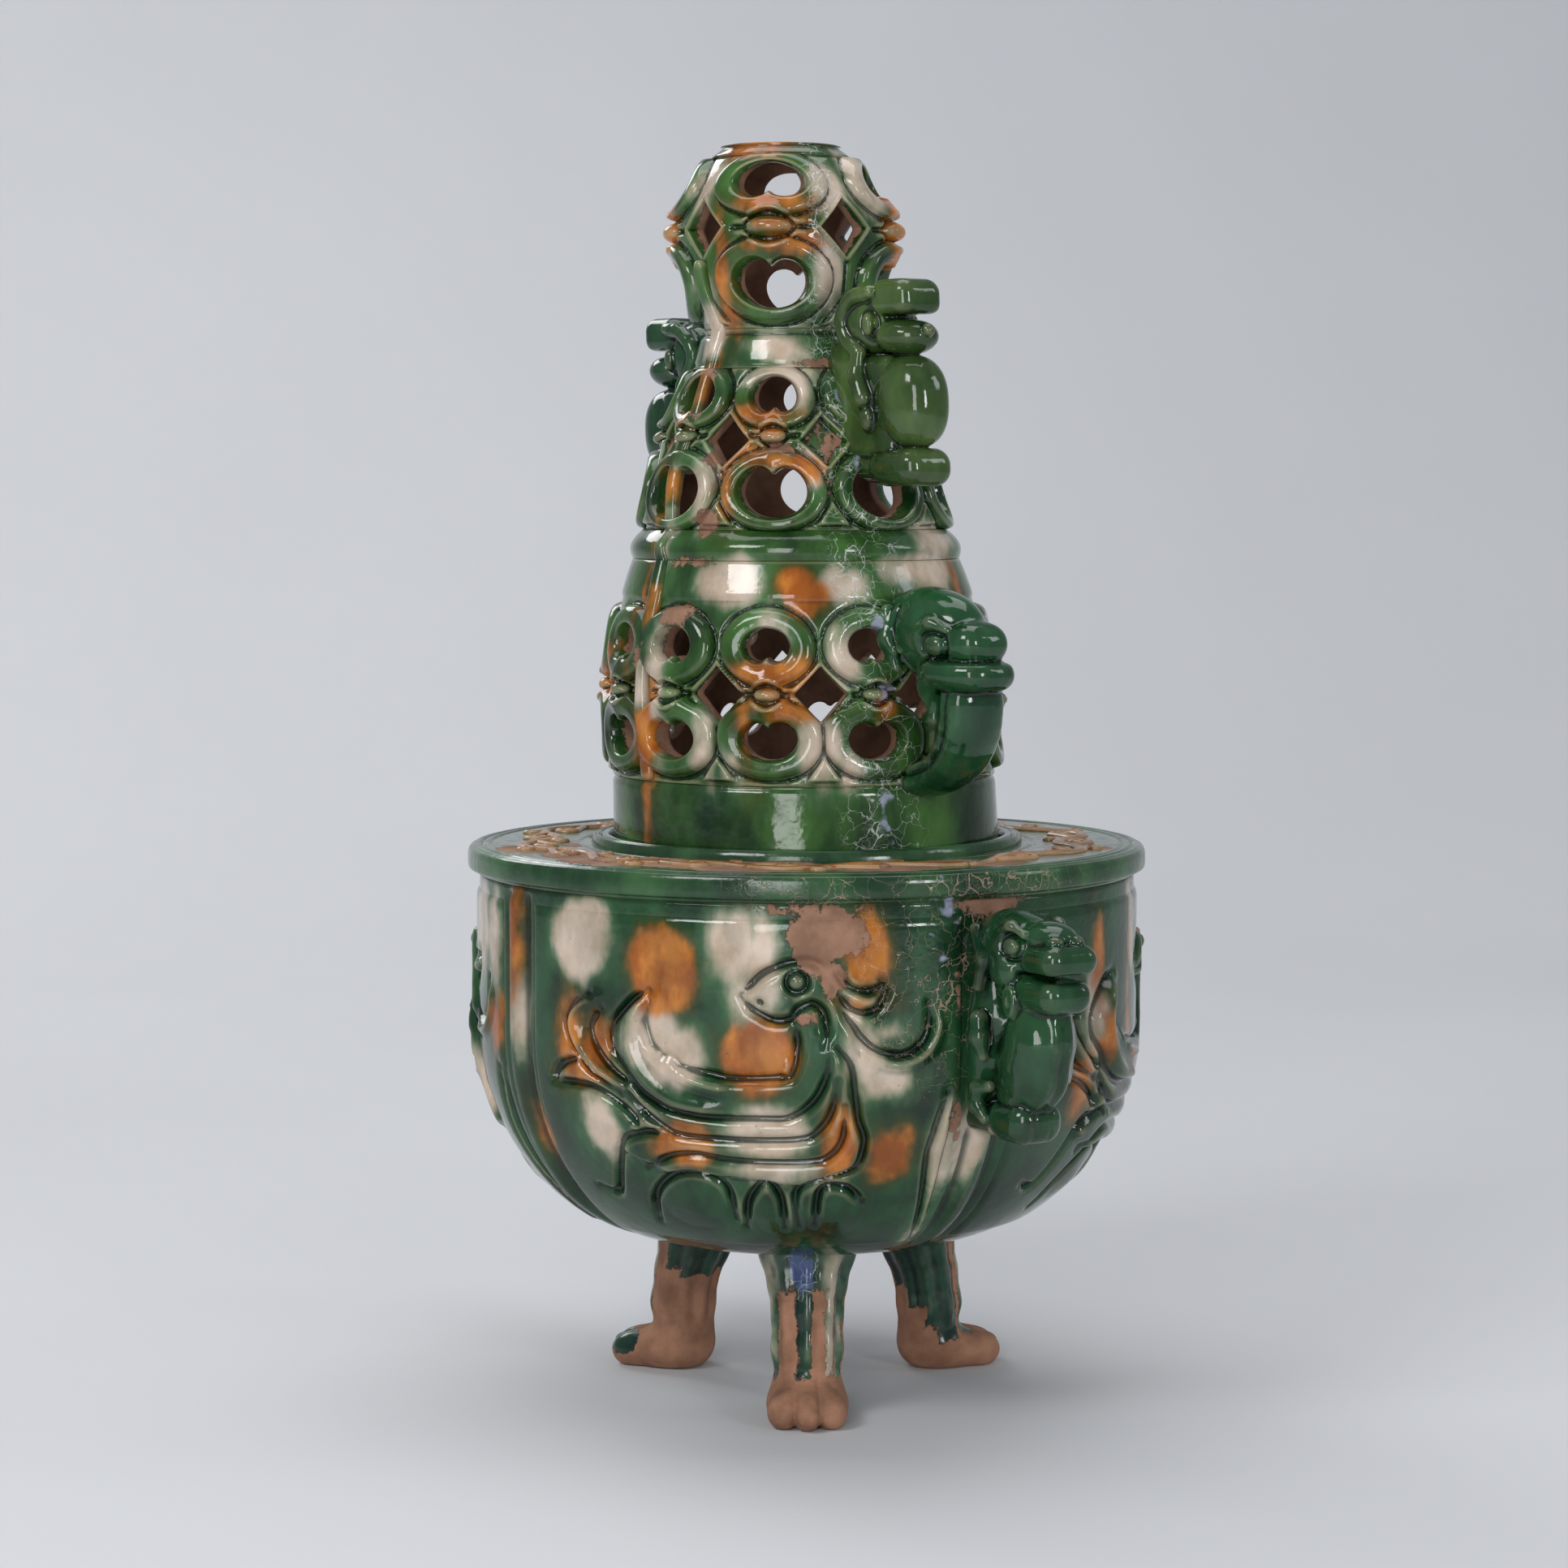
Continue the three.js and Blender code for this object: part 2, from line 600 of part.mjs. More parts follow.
// Lower handle of the cover: a snouted head whose trunk bows out and back to the wall
function lowerHandle(azimuth) {
  const root = lowerTierRadius - handleRoot;
  const tip = lowerTierRadius + lowerHeadProud;
  const lip = lowerTierBase + lowerLipRise;
  const jowl = lip - lowerLipThickness;
  const skull = span(root, tip - lowerSkullSetback, jowl, lowerHeadWidth, lowerSkullHeight);
  const snout = span(tip - lowerSnoutLength, tip, jowl, lowerHeadWidth - snoutTaper, lowerSnoutHeight);
  const trunkTop = lip - luteGap;
  const reach = lowerTierRadius + trunkProud - root;
  const drop = trunkTop - lowerTierBase + trunkSag;
  const bend = (inset) => range(trunkSteps + 1).map((i) => {
    const angle = Math.PI / 2 * i / trunkSteps;
    return [root + (reach - inset) * Math.cos(angle) ** trunkFullness,
      trunkTop - (drop - inset) * Math.sin(angle)];
  });
  const trunk = sideBody([...bend(0), ...bend(trunkThickness).reverse()], trunkWidth, handleRound);
  return {
    head: onCover(join([skull, snout]).subtract(under(lip, tip)), azimuth),
    trunk: onCover(trunk, azimuth),
  };
}

// Upper handle of the cover: a crouching beast with an open mouth, over a separate paw
function upperHandle(azimuth, drop) {
  const root = neckTopRadius - handleRoot;
  const tip = upperTierRadius + upperJawProud;
  const throat = tip - upperJawLength;
  const mouth = neckBase + upperMouthRise;
  const chin = mouth - upperChinHeight;
  const pawTop = upperTierBase + upperPawRise;
  const foot = pawTop + luteGap;
  const jaw = span(throat, tip, mouth, upperJawWidth, upperJawHeight);
  const lowerJaw = span(throat, tip, chin, upperJawWidth, upperChinHeight);
  const face = span(root, throat + upperFaceOverlap, chin, upperFaceWidth, upperJawHeight + upperChinHeight);
  const chestFront = upperTierRadius + upperChestProud;
  const chest = span(chestFront - upperChestLength, chestFront, foot, upperChestWidth, chin - foot);
  const back = sideBody([
    [root, mouth], [throat, mouth], [chestFront - handleRoot, (mouth + foot) / 2],
    [chestFront - handleRoot, foot], [root, foot],
  ], upperBackWidth, handleRound);
  const paw = pawRoll(upperTierRadius + upperPawProud, pawTop);
  const lowered = (piece) => onCover(piece.translate([0, 0, -drop]), azimuth);
  return { body: lowered(join([jaw, lowerJaw, face, chest, back])), paw: lowered(paw) };
}

function bowl() {
  const group = new THREE.Group();
  group.add(
    named('bowl_shell', bowlShell(), green()),
    named('shoulder_plate', shoulderPlate(), green()),
    named('seat_ring', seatRing(), darkGreen()),
    named('scroll_border_front', scroll(0), amber()),
    named('scroll_border_rear', scroll(1), amber()),
  );
  range(ribCount).forEach((panel) => group.add(named(`wall_beast_${panel + 1}`, beast(panel), cream())));
  ['front', 'right', 'left'].forEach((place, i) => {
    const mesh = named(`leg_${place}`, leg(), clay());
    mesh.rotation.z = turn(360 * i / legCount);
    group.add(mesh);
  });
  ['right', 'left'].forEach((side, i) => {
    const { head, body, paw } = bowlHandle(bowlAzimuth + 180 * i);
    group.add(named(`bowl_handle_head_${side}`, head, green()),
      named(`bowl_handle_body_${side}`, body, green()),
      named(`bowl_handle_paw_${side}`, paw, darkGreen()));
  });
  return group;
}

function cover() {
  const group = new THREE.Group();
  const add = (name, manifold, material) => group.add(named(name, leaned(manifold), material));
  add('cover_base_band', baseBand(), green());
  add('cover_lower_tier', lowerTier(), green());
  add('cover_belt', belt(), darkGreen());
  add('cover_upper_tier', upperTier(), green());
  add('cover_neck', neck(), cream());
  add('cover_dome', dome(), green());
  add('cover_cap', cap(), amber());
  ['front', 'rear'].forEach((place, i) => {
    add(`seam_strip_${place}`, seamStrip(coverAzimuth - 90 + 180 * i), cream());
  });
  ['right', 'left'].forEach((side, i) => {
    const azimuth = coverAzimuth + 180 * i;
    const lower = lowerHandle(azimuth);
    const upper = upperHandle(azimuth, i * rearHandleDrop);
    add(`lower_handle_head_${side}`, lower.head, green());
    add(`lower_handle_trunk_${side}`, lower.trunk, green());
    add(`upper_handle_beast_${side}`, upper.body, green());
    add(`upper_handle_paw_${side}`, upper.paw, darkGreen());
  });
  return group;
}

const incenseBurner = new THREE.Group();
incenseBurner.add(bowl(), cover());

export default incenseBurner;
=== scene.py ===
"""Looks of the tripod incense burner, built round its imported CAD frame.

Points are in millimetres until a mesh is made. Azimuths are in degrees from the front (-Y) toward +X.
"""

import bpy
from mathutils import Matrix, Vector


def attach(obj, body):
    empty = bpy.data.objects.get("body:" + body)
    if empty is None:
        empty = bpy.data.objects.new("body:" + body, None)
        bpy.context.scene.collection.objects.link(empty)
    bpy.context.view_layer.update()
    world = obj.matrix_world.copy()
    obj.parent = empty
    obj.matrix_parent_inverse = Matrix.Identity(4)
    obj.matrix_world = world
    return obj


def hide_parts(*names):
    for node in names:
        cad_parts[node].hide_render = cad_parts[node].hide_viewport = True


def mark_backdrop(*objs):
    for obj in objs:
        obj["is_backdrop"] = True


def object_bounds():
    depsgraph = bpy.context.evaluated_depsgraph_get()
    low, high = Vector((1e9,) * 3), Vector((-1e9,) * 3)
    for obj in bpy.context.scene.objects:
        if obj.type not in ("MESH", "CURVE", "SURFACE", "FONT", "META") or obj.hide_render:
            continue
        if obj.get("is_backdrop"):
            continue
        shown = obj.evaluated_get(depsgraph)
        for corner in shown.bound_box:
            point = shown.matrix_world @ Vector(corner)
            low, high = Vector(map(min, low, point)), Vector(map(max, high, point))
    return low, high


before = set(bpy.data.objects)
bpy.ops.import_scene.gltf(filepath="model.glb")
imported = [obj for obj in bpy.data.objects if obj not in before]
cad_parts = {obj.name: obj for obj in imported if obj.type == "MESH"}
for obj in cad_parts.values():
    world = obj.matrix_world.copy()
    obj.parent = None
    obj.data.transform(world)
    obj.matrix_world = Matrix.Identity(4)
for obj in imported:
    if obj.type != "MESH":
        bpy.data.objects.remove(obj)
cad_box = [list(corner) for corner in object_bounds()]

import itertools
import math

import bpy
import numpy as np
from mathutils import Vector

MM = 0.001
CHANCE = np.random.default_rng(11)

# Sizes shared with the CAD part
BOWL_BASE, BELLY, PLATE_BASE, PLATE_TOP = 47.0, 112.0, 154.0, 162.5
BASE_RADIUS, WALL_RADIUS, RIM_RADIUS, BOWL_WALL = 39.5, 96.5, 100.0, 9.0
MOUTH_RADIUS, SEAT_INNER, SEAT_OUTER, LEDGE = 46.7, 58.0, 63.6, 160.5
COVER_BASE, TIER_LOW, BELT_LOW, TIER_HIGH = 160.8, 182.7, 246.0, 254.5
NECK_LOW, DOME_LOW, DOME_BELLY, DOME_TOP = 301.0, 312.0, 339.5, 362.0
LEAN = 0.0375
COVER_AXIS, BOWL_AXIS = 37.0, 31.5
PANEL_AXIS = BOWL_AXIS - 45
REAR_HANDLE_DROP = 7.5


def ramp(distance, width):
    """From 0 at no distance to 1 at the given width."""
    return np.clip(distance / width, 0, 1)


def hump(distance, width):
    """From 1 at no distance, falling away on both sides within about the given width."""
    return np.exp(-(distance / width) ** 2)


# Shapes of revolution
def bowl_at(z):
    drop = np.clip((BELLY - z) / (BELLY - BOWL_BASE), 0, 1)
    return BASE_RADIUS + (WALL_RADIUS - BASE_RADIUS) * np.sqrt(np.maximum(1 - drop ** 2, 0))


def band_at(z):
    return 57 - 0.5 * np.clip((z - COVER_BASE) / (TIER_LOW - COVER_BASE), 0, 1)


def lower_at(z):
    return 57 - 9 * np.clip((z - 197) / (BELT_LOW - 197), 0, 2) ** 2.2


def belt_at(z):
    t = np.clip((z - BELT_LOW) / (TIER_HIGH - BELT_LOW), 0, 1)
    return 48 - 3.4 * t + 2 * np.sin(np.pi * t)


def upper_at(z):
    return 44.6 - 16.4 * np.clip((z - TIER_HIGH) / (NECK_LOW - TIER_HIGH), 0, 1.1) ** 1.5


def neck_at(z):
    return 28.2 - 3.3 * np.clip((z - NECK_LOW) / (DOME_LOW - NECK_LOW), 0, 1)


def dome_at(z):
    half = np.where(z < DOME_BELLY, 47.6, 30.6)
    return 30.5 * np.sqrt(np.clip(1 - ((z - DOME_BELLY) / half) ** 2, 0.02, 1))


def cover_at(z):
    zones = [z < TIER_LOW, z < BELT_LOW, z < TIER_HIGH, z < NECK_LOW, z < DOME_LOW]
    return np.select(zones, [band_at(z), lower_at(z), belt_at(z), upper_at(z), neck_at(z)], dome_at(z))


# Implicit shapes: each is below zero inside
def meld(a, b, soft):
    """Union of two shapes with a fillet."""
    near = np.maximum(soft - np.abs(a - b), 0) / soft
    return np.minimum(a, b) - near ** 2 * soft / 4


def melded(shape, *others):
    """Union of a shape with others, each given with its fillet."""
    for other, soft in others:
        shape = meld(shape, other, soft)
    return shape


def trim(a, b, soft):
    """What lies in both shapes, with a rounded edge."""
    return -meld(-a, -b, soft)


def egg(p, centre, radii, tilt=0.0):
    """Ellipsoid; tilt turns it in the plane of its first and last axes, in degrees."""
    q = p - np.array(centre, float)
    if tilt:
        c, s = math.cos(math.radians(tilt)), math.sin(math.radians(tilt))
        q = np.stack([q[:, 0] * c + q[:, 2] * s, q[:, 1], -q[:, 0] * s + q[:, 2] * c], 1)
    radii = np.array(radii, float)
    scaled = q / radii
    k0 = np.linalg.norm(scaled, axis=1)
    k1 = np.linalg.norm(scaled / radii, axis=1)
    return k0 * (k0 - 1) / np.maximum(k1, 1e-9)


def block(p, centre, half, soft):
    """Box with round edges."""
    away = np.abs(p - np.array(centre, float)) - (np.array(half, float) - soft)
    return np.linalg.norm(np.maximum(away, 0), axis=1) + np.minimum(away.max(1), 0) - soft


def barrel(p, centre, half, power):
    """Swollen body between an egg and a box."""
    half = np.array(half, float)
    away = (np.abs((p - np.array(centre, float)) / half) ** power).sum(1) ** (1 / power)
    return (away - 1) * half.min()


def limb(p, path, radii, across=1.0):
    """Round bar along a path, squeezed or widened on the second axis."""
    squeeze = np.array([1, 1 / across, 1])
    q = p * squeeze
    path = np.array(path, float) * squeeze
    shape = None
    for a, b, ra, rb in zip(path, path[1:], radii, radii[1:]):
        t = np.clip((q - a) @ (b - a) / ((b - a) @ (b - a)), 0, 1)
        bar = np.linalg.norm(q - a - t[:, None] * (b - a), axis=1) - (ra + t * (rb - ra))
        shape = bar if shape is None else meld(shape, bar, 1.5)
    return shape


def line_distance(x, y, line):
    """Distance in a plane to a line of points, and the share of the way along it."""
    line = np.array(line, float)
    if len(line) == 1:
        return np.hypot(x - line[0, 0], y - line[0, 1]), np.zeros_like(x)
    best, share = np.full_like(x, 1e9), np.zeros_like(x)
    for i, (a, b) in enumerate(zip(line, line[1:])):
        dx, dy = b - a
        t = np.clip(((x - a[0]) * dx + (y - a[1]) * dy) / (dx * dx + dy * dy), 0, 1)
        d = np.hypot(x - a[0] - t * dx, y - a[1] - t * dy)
        share = np.where(d < best, (i + t) / (len(line) - 1), share)
        best = np.minimum(best, d)
    return best, share


def curved(line, steps=6):
    """A smooth line through the given points."""
    p = np.array(line, float)
    if len(p) < 3:
        return p
    p = np.vstack([2 * p[0] - p[1], p, 2 * p[-1] - p[-2]])
    t = np.arange(steps)[:, None] / steps
    parts = [0.5 * (2 * b + (c - a) * t + (2 * a - 5 * b + 4 * c - d) * t ** 2
                    + (3 * b - a - 3 * c + d) * t ** 3)
             for a, b, c, d in zip(p, p[1:], p[2:], p[3:])]
    return np.vstack([*parts, p[-2:-1]])


def surface_net(values):
    """Corners, in grid steps, and faces of the surface where a grid of values passes zero."""
    inside = values < 0
    rolled = {s: np.roll(values, [-n for n in s], (0, 1, 2)) for s in itertools.product((0, 1), repeat=3)}
    total = np.zeros(values.shape + (3,))
    crossings = np.zeros(values.shape)
    for axis, start in itertools.product(range(3), rolled):
        if start[axis]:
            continue
        end = tuple(1 if i == axis else n for i, n in enumerate(start))
        a, b = rolled[start], rolled[end]
        crossed = (a < 0) != (b < 0)
        t = np.where(crossed, a / np.where(crossed, a - b, 1), 0)
        for i in range(3):
            total[..., i] += np.where(crossed, start[i] + (t if i == axis else 0), 0)
        crossings += crossed
    active = crossings > 0
    index = np.full(values.shape, -1)
    index[active] = np.arange(active.sum())
    corners = np.argwhere(active) + total[active] / crossings[active][:, None]
    faces = []
    for axis in range(3):
        ahead = np.roll(inside, -1, axis)
        b, c = [(axis + 1) % 3, (axis + 2) % 3]
        cells = [index, np.roll(index, 1, b), np.roll(np.roll(index, 1, b), 1, c), np.roll(index, 1, c)]
        for leaving in (True, False):
            edge = inside & ~ahead if leaving else ~inside & ahead
            quads = np.stack([cell[edge] for cell in cells], 1)
            faces.append(quads if leaving else quads[:, ::-1])
    return corners, np.concatenate(faces)


def settled(points, field, rounds=3, probe=0.04):
    """Points moved onto the surface where field is zero."""
    for _ in range(rounds):
        value = field(points)
        change = [field(points + step) - field(points - step) for step in np.eye(3) * probe]
        slope = np.stack(change, 1) / (2 * probe)
        move = (value / np.maximum((slope ** 2).sum(1), 0.1))[:, None] * slope
        length = np.linalg.norm(move, axis=1, keepdims=True)
        points = points - move * np.minimum(1, 0.5 / np.maximum(length, 1e-9))
    return points


def netted(field, low, high, cell, closed=False):
    """Mesh of an implicit shape in a box. Closed: the first axis runs round and meets itself."""
    low, high = np.array(low, float), np.array(high, float)
    counts = np.maximum(np.round((high - low) / cell).astype(int), 4)
    steps = (high - low) / counts
    axes = [low[i] + steps[i] * np.arange(counts[i] + (0 if closed and i == 0 else 1)) for i in range(3)]
    grid = np.stack(np.meshgrid(*axes, indexing="ij"), -1)
    values = field(grid.reshape(-1, 3)).reshape(grid.shape[:3])
    for i in range(3):
        if not (closed and i == 0):
            edge = np.moveaxis(values, i, 0)
            edge[0] = edge[-1] = 1
    corners, faces = surface_net(values)
    return settled(low + corners * steps, field), faces


# Meshes
def leaned(points):
    return points - np.outer(points[:, 2] - COVER_BASE, [LEAN, 0, 0])


def turned(points, azimuth):
    """From reach, across and height to the frame's axes."""
    a = math.radians(azimuth)
    r, t, z = points.T
    return np.stack([r * math.sin(a) + t * math.cos(a), -r * math.cos(a) + t * math.sin(a), z], 1)


def about(r, a, z):
    """From radius, angle in radians and height to the frame's axes."""
    x, y = r * np.sin(a), -r * np.cos(a)
    return np.stack([x, y, z + np.zeros_like(x)], -1)


def round_wall(points, radius_at, unroll):
    """From length round the wall, height and outward offset to the frame's axes."""
    u, z, w = points.T
    return about(radius_at(z) + w, u / unroll, z)


def ring_faces(rows, sides):
    """Faces of a solid whose rows of corners run round it and meet themselves both ways."""
    i, j = np.meshgrid(np.arange(rows), np.arange(sides), indexing="ij")
    corner = lambda row, column: (row % rows) * sides + column % sides
    quads = [corner(i, j), corner(i, j + 1), corner(i + 1, j + 1), corner(i + 1, j)]
    return np.stack(quads, -1).reshape(-1, 4)


def lathe(outline, sides, wobble=0.0):
    """Closed solid of revolution; outline is [radius, height] pairs, up outside and down inside."""
    outline = np.array(outline, float)
    a = 2 * np.pi * np.arange(sides) / sides
    r = outline[:, 0][:, None] - wobble * (0.5 + 0.5 * np.sin(3 * a + 1) * np.cos(2 * a))[None, :]
    return about(r, a, outline[:, 1][:, None]).reshape(-1, 3), ring_faces(len(outline), sides)


def hollows(mesh, points, rounds):
    """How hollow the surface is at each corner, in 1/mm: above zero in grooves, below it on ridges."""
    count = len(points)
    edges = np.zeros(len(mesh.edges) * 2, int)
    mesh.edges.foreach_get("vertices", edges)
    a, b = edges.reshape(-1, 2).T
    normals = np.zeros(count * 3)
    mesh.vertex_normals.foreach_get("vector", normals)
    degree = np.maximum(np.bincount(a, minlength=count) + np.bincount(b, minlength=count), 1)

    def around(values):
        return (np.bincount(a, values[b], count) + np.bincount(b, values[a], count)) / degree

    mean = np.stack([around(points[:, i]) for i in range(3)], 1)
    length = np.linalg.norm(points[a] - points[b], axis=1)
    spacing = (np.bincount(a, length, count) + np.bincount(b, length, count)) / degree
    bend = ((mean - points) * normals.reshape(-1, 3)).sum(1) / np.maximum(spacing ** 2, 1e-6) * 4
    for _ in range(rounds):
        bend = (bend + around(bend)) / 2
    return np.clip(bend, -2, 2)


def piece(name, shape, body, stands_for, material, paint, rounds=5):
    """Object made of a shape's points and faces, with the masks that paint gives for its corners."""
    points, faces = shape
    placed = leaned(points) if body == "cover" else points
    mesh = bpy.data.meshes.new(name)
    mesh.vertices.add(len(points))
    mesh.vertices.foreach_set("co", (placed * MM).ravel())
    mesh.loops.add(faces.size)
    mesh.loops.foreach_set("vertex_index", faces.ravel())
    mesh.polygons.add(len(faces))
    mesh.polygons.foreach_set("loop_start", np.arange(len(faces)) * faces.shape[1])
    mesh.polygons.foreach_set("use_smooth", np.ones(len(faces), bool))
    mesh.update(calc_edges=True)
    mesh.validate()
    volume = np.einsum("ij,ij->", placed[faces[:, 0]],
                       np.cross(placed[faces[:, 1]], placed[faces[:, 2]])
                       + np.cross(placed[faces[:, 2]], placed[faces[:, 3]]))
    if volume < 0:
        mesh.flip_normals()
    layers = {**paint(points), "hollow": hollows(mesh, placed, rounds)}
    for key, values in layers.items():
        mesh.attributes.new(key, "FLOAT", "POINT").data.foreach_set("value", values.astype(np.float32))
    mesh.materials.append(material)
    thing = bpy.data.objects.new(name, mesh)
    bpy.context.scene.collection.objects.link(thing)
    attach(thing, body)
    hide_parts(*stands_for)


# Where glaze colours and bare clay lie: (azimuth, height, half width, half height) of each splash
BOWL_CREAM = [
    (-40.5, 142, 9.5, 10.5), (-75.5, 139, 8, 14), (-57, 116.5, 3.5, 10.5), (-12, 142, 7, 11),
    (-8, 139, 5, 13), (-10.5, 129, 3, 9), (-26, 116, 7.5, 8), (-22, 111, 8.5, 7.5),
    (-37.5, 88.5, 6.5, 10), (-6, 90, 11, 7), (-7, 80, 8.5, 3.5), (7, 121, 3, 9), (9, 113, 5.5, 9),
    (12.5, 118.5, 4.5, 3), (13, 105.5, 7, 3.5), (24, 84, 2.5, 17), (29, 88.5, 4.5, 11),
    (56.5, 118, 4, 10), (74.5, 138, 4, 12), (-68, 140, 3.5, 12)]
BOWL_AMBER = [
    (-24.5, 135, 9, 11), (-8.5, 112.5, 10.5, 9.5), (-58.5, 138.5, 3.5, 15), (-43, 114, 4, 9.5),
    (-36.5, 113, 4.5, 7), (-39, 105, 7, 3), (-21.5, 86, 7.5, 6), (9.5, 141, 6, 12), (8.5, 127, 5, 2),
    (5, 89, 4.5, 9), (13.5, 84, 6.5, 8), (58, 137, 3, 10.5), (54, 97.5, 6, 10), (-54.5, 88, 4, 11),
    (-67, 112.5, 4, 7), (72, 124, 2, 14), (60, 112, 3, 6)]
BOWL_BARE = [
    (3, 146, 11.5, 7), (1, 141, 6, 6), (4, 133.5, 3.5, 5), (0, 152.5, 17, 1.5), (31, 153, 10, 3.5),
    (25, 129, 1.2, 9), (25.5, 94, 1.5, 6), (0, 123, 2.5, 1.5), (28, 141, 2.5, 2.5), (30.5, 112, 1.5, 4)]
COVER_CREAM = [
    (15, 239, 5.5, 5), (-22, 240, 9.5, 6), (-5.5, 207.5, 3, 1.5), (50.5, 243.5, 11, 5.5),
    (-45.5, 214, 2, 12), (-28.5, 193.5, 3, 10), (-21.5, 188.5, 3, 4.5), (4, 193.5, 4.5, 9.5),
    (13, 219, 3.5, 7), (13.5, 187.5, 2.5, 3.5), (-8.5, 226, 2, 6), (-4.5, 306.5, 8, 5),
    (1.5, 295.5, 5, 7), (-6, 299, 8, 3), (-57, 310, 3.5, 6), (-50.5, 263, 2, 11), (-38, 268, 2.5, 7),
    (7, 275, 2.5, 5), (57, 251, 11, 5), (28, 353, 5.5, 8), (58, 354, 7, 9), (24, 327, 4.5, 10),
    (-57.5, 351, 3.5, 8), (-57, 322, 3, 8), (-9.5, 352, 4, 2), (40, 243, 6, 4), (78, 216, 5, 8)]
COVER_AMBER = [
    (-8, 214, 9, 3.5), (-6, 204.5, 10.5, 3.5), (-16, 198, 2.5, 8), (-6, 209, 6, 4.5), (-1, 239, 5.5, 5),
    (3, 236, 6, 4), (66, 239, 3, 8), (-59, 233, 2, 11), (-50, 197, 2.5, 9), (-53.5, 178, 3, 11),
    (-25, 269, 2.5, 9), (-8, 274.5, 9, 4), (2, 273, 6, 4), (-54, 288, 2.5, 11), (-58.5, 266, 1.5, 14),
    (-52, 300, 2, 5), (-7, 288, 7, 2), (-7, 282, 4, 2.5), (-9, 347.5, 10, 3), (-6, 336.5, 12, 3),
    (-6, 341.5, 7, 3), (-36, 329, 3, 11), (79, 347, 5, 8), (82, 335, 6, 9), (-97, 336, 6, 8),
    (-20, 365, 12, 2.5), (24, 205, 2, 3)]
COVER_BARE = [
    (-39.5, 230.5, 5.5, 3), (-54, 217, 1.5, 3.5), (-4, 277.5, 5, 2), (-47.5, 293.5, 3, 7),
    (-34, 256.5, 3.5, 3.5), (-35, 275, 2.5, 2), (-40, 245.5, 6, 1.3), (-53, 341, 1.5, 5),
    (26, 302, 7, 1.5)]


def scattered(count, azimuths, heights, sizes):
    """Splashes for the side that the photo doesn't show."""
    low, high = np.array([azimuths, heights, sizes[0], sizes[1]], float).T
    return [tuple(low + (high - low) * CHANCE.random(4)) for _ in range(count)]


BOWL_REAR, COVER_REAR = (88, 280), (90, 285)
LOWER_ZONE, UPPER_ZONE = (186, 244), (256, 360)
BOWL_CREAM += scattered(13, BOWL_REAR, (78, 146), ((4, 9), (6, 13)))
BOWL_AMBER += scattered(14, BOWL_REAR, (78, 148), ((4, 10), (6, 13)))
BOWL_BARE += scattered(4, BOWL_REAR, (84, 152), ((2, 6), (2, 5)))
COVER_CREAM += scattered(12, COVER_REAR, LOWER_ZONE, ((3, 8), (4, 10)))
COVER_CREAM += scattered(12, COVER_REAR, UPPER_ZONE, ((3, 6), (4, 9)))
COVER_AMBER += scattered(11, COVER_REAR, LOWER_ZONE, ((3, 9), (3, 9)))
COVER_AMBER += scattered(12, COVER_REAR, UPPER_ZONE, ((3, 7), (3, 8)))
COVER_BARE += scattered(5, COVER_REAR, (184, 355), ((2, 5), (2, 4)))

# Masks are in mm inside an edge. This is one that lies beyond the reach of any edge.
NOWHERE = -30.0
# How deep behind the outer face the glaze ends and the inside's clay begins
BOWL_GLAZE_DEPTH, COVER_GLAZE_DEPTH = 3.5, 2.6


def signed(angle):
    """Degrees from -180 to 180."""
    return (angle + 180) % 360 - 180


def splash(azimuth, z, radius, splashes):
    """How far inside the nearest splash a point lies, in mm; below zero outside.

    Where radius is None, height is a distance from the axis, as on the plate.
    """
    best = np.full_like(z, NOWHERE)
    for centre, height, half_width, half_height in splashes:
        along = np.radians(signed(azimuth - centre)) * (height if radius is None else radius)
        away = np.hypot(along / half_width, (z - height) / half_height)
        best = np.maximum(best, (1 - away) * min(half_width, half_height))
    return best


def masks(z, **given):
    """The four masks of a mesh, with nothing where none is given."""
    return {"amber": np.full_like(z, NOWHERE), "cream": np.full_like(z, NOWHERE),
            "bare": np.full_like(z, NOWHERE), "crackle": np.zeros_like(z), **given}


def polar(points):
    x, y, z = points.T
    return np.degrees(np.arctan2(x, -y)), z, np.hypot(x, y)


def paint_bowl(points):
    azimuth, z, r = polar(points)
    wall = np.maximum(bowl_at(z), 45)
    inner = wall - BOWL_GLAZE_DEPTH - r
    inner = np.where(z < BOWL_BASE + 6, np.minimum(inner, z - BOWL_BASE - 3), inner)
    return masks(z, amber=splash(azimuth, z, wall, BOWL_AMBER),
                 cream=splash(azimuth, z, wall, BOWL_CREAM),
                 bare=np.maximum(splash(azimuth, z, wall, BOWL_BARE), np.clip(inner, -20, 12)),
                 crackle=hump(azimuth - 24, 14) * ramp(z - 95, 25))


# Places on the plate where the glaze has come off: (azimuth, radius, half width, half depth)
PLATE_WORN = [
    (16, 84, 14, 10), (1, 77, 14, 8), (-13, 85, 14, 9), (-27, 79, 14, 10), (-42, 85, 14, 10),
    (-56, 80, 12, 9), (-72, 86, 11, 8), (30, 75, 12, 6), (-8, 68, 14, 4), (38, 86, 10, 6), (50, 78, 8, 4),
    (-34, 70, 12, 5), (58, 62, 9, 2.5), (-80, 70, 6, 3), (118, 78, 5, 3), (165, 87, 5, 3),
    (212, 72, 6, 3), (-103, 63, 9, 2.5), (75, 88, 6, 3), (238, 88, 4, 3)]


def worn_plate(azimuth, r):
    """How far inside the nearest worn place of the plate a point lies."""
    return splash(azimuth, r, None, PLATE_WORN)


